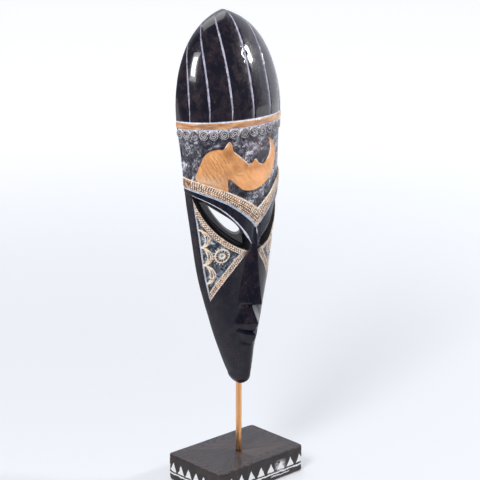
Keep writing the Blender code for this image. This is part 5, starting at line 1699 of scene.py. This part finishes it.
def buildPlinth():
    p = plinthLook
    top, foot = p["topEdge"], p["footEdge"]
    levels = [(9.0 * mm, 0.0), (5.0 * mm, 0.0), (foot + 0.0006, 0.0)]
    levels += [(foot * (1 - math.sin(a)), foot * (1 - math.cos(a)))
               for a in np.linspace(0.15, math.pi / 2, 7)]
    levels += [(0.0, z) for z in np.linspace(foot, plinthHigh.z - top, 12)[1:]]
    levels += [(top * (1 - math.cos(a)), plinthHigh.z - top * (1 - math.sin(a))) for a in
               np.linspace(0.25, math.pi / 2, 5)]
    levels += [(inset * mm, plinthHigh.z) for inset in (1.8, 3.2, 5.5, 9.0)]
    rings = [plinthRing(inset, z) for inset, z in levels]
    points = np.vstack(rings)
    x, y, z = points.T / mm
    wear = ripples(x + z * 0.7, y - z * 0.9, 9.0, 31) * 0.5 + ripples(x - z, y + z, 3.5, 32) * 0.3
    wear = np.clip(wear, -0.6, 1.0)
    edge = np.maximum(np.exp(-(z / 2.6) ** 2), 0.5 * np.exp(-((plinthHigh.z / mm - z) / 1.2) ** 2))
    nearCorner = cornerShare(x, y, 4.0)
    outside = (np.abs(x) > plinthHigh.x / mm - 4.5) | (np.abs(y) > plinthHigh.y / mm - 4.5)
    pull = p["worn"] * np.maximum(edge, nearCorner) * np.clip(0.35 + wear, 0.0, 1.2) * outside
    points[:, 0] -= np.sign(points[:, 0]) * pull * (np.abs(x) > plinthHigh.x / mm - 4.5)
    points[:, 1] -= np.sign(points[:, 1]) * pull * (np.abs(y) > plinthHigh.y / mm - 4.5)
    mesh = lofted("plinthMesh", np.split(points, len(levels)))
    mesh.materials.append(finishPlinth)
    block = addPiece("woodPlinth", mesh)
    rim = ring((rodX, rodY), p["bore"], 48)
    ends = (rodLow.z - 0.0003, plinthHigh.z + 0.01)
    bore = lofted("bore", [np.column_stack([rim, np.full(48, z)]) for z in ends])
    bore.materials.append(finishPlinth)
    cutAway(block, bore)
    block.data.shade_smooth()
    block.data.set_sharp_from_angle(angle=math.radians(32))
    places = np.array([v.co for v in block.data.vertices]) / mm
    x, y, z = places.T
    corner = cornerShare(x, y, 1.6)
    edge = np.maximum(np.exp(-(z / 2.2) ** 2) * 0.8, np.exp(-((plinthHigh.z / mm - z) / 0.6) ** 2) * 0.7)
    rubbed = np.clip(np.maximum(corner, edge) * (0.35 + 0.8 * ripples(x + z, y - z, 4.0, 40)), 0.0, 0.8)
    block.data.attributes.new("worn", "FLOAT", "POINT").data.foreach_set("value", rubbed.astype(np.float32))
    return block


finishRod, finishPlinth = rodFinish(), plinthFinish()
rod, plinth = buildRod(), buildPlinth()
for piece, node, slot in ((mask, "mask", "carved_wood"), (rod, "rod", "copper_rod"),
                          (plinth, "plinth", "plinth_wood")):
    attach(piece, "root")
    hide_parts(node)
print("rod and plinth:", len(rod.data.polygons) + len(plinth.data.polygons), "faces")

# Camera at the photograph's view
cameraLook = {"azimuth": -42.68, "elevation": 15.29, "distance": 1.3448, "lens": 117.42,
              "right": 0.00107, "up": 0.1804}


def addCamera():
    c = cameraLook
    azimuth, elevation = math.radians(c["azimuth"]), math.radians(c["elevation"])
    right = Vector((math.cos(azimuth), math.sin(azimuth), 0.0))
    back = Vector((math.sin(azimuth) * math.cos(elevation), -math.cos(azimuth) * math.cos(elevation),
                   math.sin(elevation)))
    up = back.cross(right)
    target = Vector((rodX, rodY, plinthHigh.z)) + right * c["right"] + up * c["up"]
    data = bpy.data.cameras.new("camera")
    data.lens, data.sensor_width, data.sensor_fit = c["lens"], 36.0, "HORIZONTAL"
    camera = bpy.data.objects.new("camera", data)
    bpy.context.scene.collection.objects.link(camera)
    camera.matrix_world = Matrix((right, up, back)).transposed().to_4x4()
    camera.location = target + back * c["distance"]
    bpy.context.scene.camera = camera


# Floor, soft boxes and a white room that is dimmer behind the camera
lightLook = {
    # azimuth from the front, elevation, distance, width, height, watts
    "leftBox": (-67.0, 36.0, 1.5, 0.56, 0.7, 4.5),
    "leftCore": (-67.0, 36.0, 1.49, 0.34, 0.44, 11.0),
    "rightBox": (52.0, 24.0, 1.5, 0.13, 0.2, 9.0),
    "topBox": (150.0, 72.0, 1.7, 1.2, 1.2, 7.0),
}
roomLook = {"diffuse": 0.36, "front": 0.09, "behind": 0.9, "backdrop": (0.93, 0.96, 1.06),
            "toWall": (0.654, 0.709, 0.0)}
floorLook = {"near": (0.6, 0.62, 0.66), "far": (0.8, 0.82, 0.85), "nearGlow": 0.26, "farGlow": 0.62,
             "nearReach": 0.15, "farReach": 2.0, "dimFrom": -0.12, "dimTo": -0.5,
             "dimmed": (0.12, 0.12, 0.15), "dimGlow": (0.02, 0.02, 0.026)}


def addBox(name, azimuth, elevation, distance, width, height, watts):
    data = bpy.data.lights.new(name, "AREA")
    data.shape, data.size, data.size_y, data.energy = "RECTANGLE", width, height, watts
    box = bpy.data.objects.new(name, data)
    bpy.context.scene.collection.objects.link(box)
    azimuth, elevation = math.radians(azimuth), math.radians(elevation)
    away = Vector((math.sin(azimuth) * math.cos(elevation), -math.cos(azimuth) * math.cos(elevation),
                   math.sin(elevation)))
    box.location = Vector((0.0, 0.0, 0.25)) + away * distance
    box.rotation_euler = away.to_track_quat("Z", "Y").to_euler()


def addFloor():
    f = floorLook
    corners = [(-6, -6, 0), (6, -6, 0), (6, 6, 0), (-6, 6, 0)]
    floor = addPiece("floor", meshFrom("floor", corners, [(0, 1, 2, 3)]))
    material, tree, shader = newFinish("floorPale", Roughness=0.6)
    place = addNode(tree, "ShaderNodeTexCoord").outputs["Object"]
    away = addNode(tree, "ShaderNodeVectorMath", {0: place}, operation="LENGTH").outputs["Value"]
    far = span(tree, away, f["nearReach"], f["farReach"])
    toWall = addNode(tree, "ShaderNodeVectorMath", {0: place, 1: roomLook["toWall"]}, operation="DOT_PRODUCT")
    ray = addNode(tree, "ShaderNodeLightPath").outputs
    # in front of the mask the floor is dim in its polish alone, as the room is
    inFront = span(tree, toWall.outputs["Value"], f["dimFrom"], f["dimTo"])
    dim = calc(tree, "MULTIPLY", ray["Is Glossy Ray"], inFront)
    colour = blend(tree, dim, blend(tree, far, f["near"], f["far"]), f["dimmed"])
    glow = blend(tree, far, (f["nearGlow"],) * 3, (f["farGlow"],) * 3)
    tree.links.new(colour, shader.inputs["Base Color"])
    tree.links.new(blend(tree, dim, glow, f["dimGlow"]), shader.inputs["Emission Color"])
    shader.inputs["Emission Strength"].default_value = 1.0
    floor.data.materials.append(material)


def addRoom():
    r = roomLook
    world = bpy.data.worlds.new("studio")
    world.use_nodes = True
    tree = world.node_tree
    ray = addNode(tree, "ShaderNodeLightPath").outputs
    direction = addNode(tree, "ShaderNodeTexCoord").outputs["Generated"]
    toWall = addNode(tree, "ShaderNodeVectorMath", {0: direction, 1: r["toWall"]}, operation="DOT_PRODUCT")
    mirrored = span(tree, toWall.outputs["Value"], -0.1, 0.45, r["front"], r["behind"])
    strength = calc(tree, "MULTIPLY", ray["Is Glossy Ray"], calc(tree, "SUBTRACT", mirrored, r["diffuse"]))
    strength = calc(tree, "ADD", strength, r["diffuse"])
    seen = calc(tree, "MULTIPLY", ray["Is Camera Ray"], calc(tree, "SUBTRACT", 1.0, strength))
    background = tree.nodes["Background"]
    background.inputs["Color"].default_value = (*r["backdrop"], 1.0)
    tree.links.new(calc(tree, "ADD", strength, seen), background.inputs["Strength"])
    bpy.context.scene.world = world


addCamera()
addFloor()
addRoom()
for name, look in lightLook.items():
    addBox(name, *look)
bpy.context.scene.view_settings.view_transform = "Standard"
print("studio set")
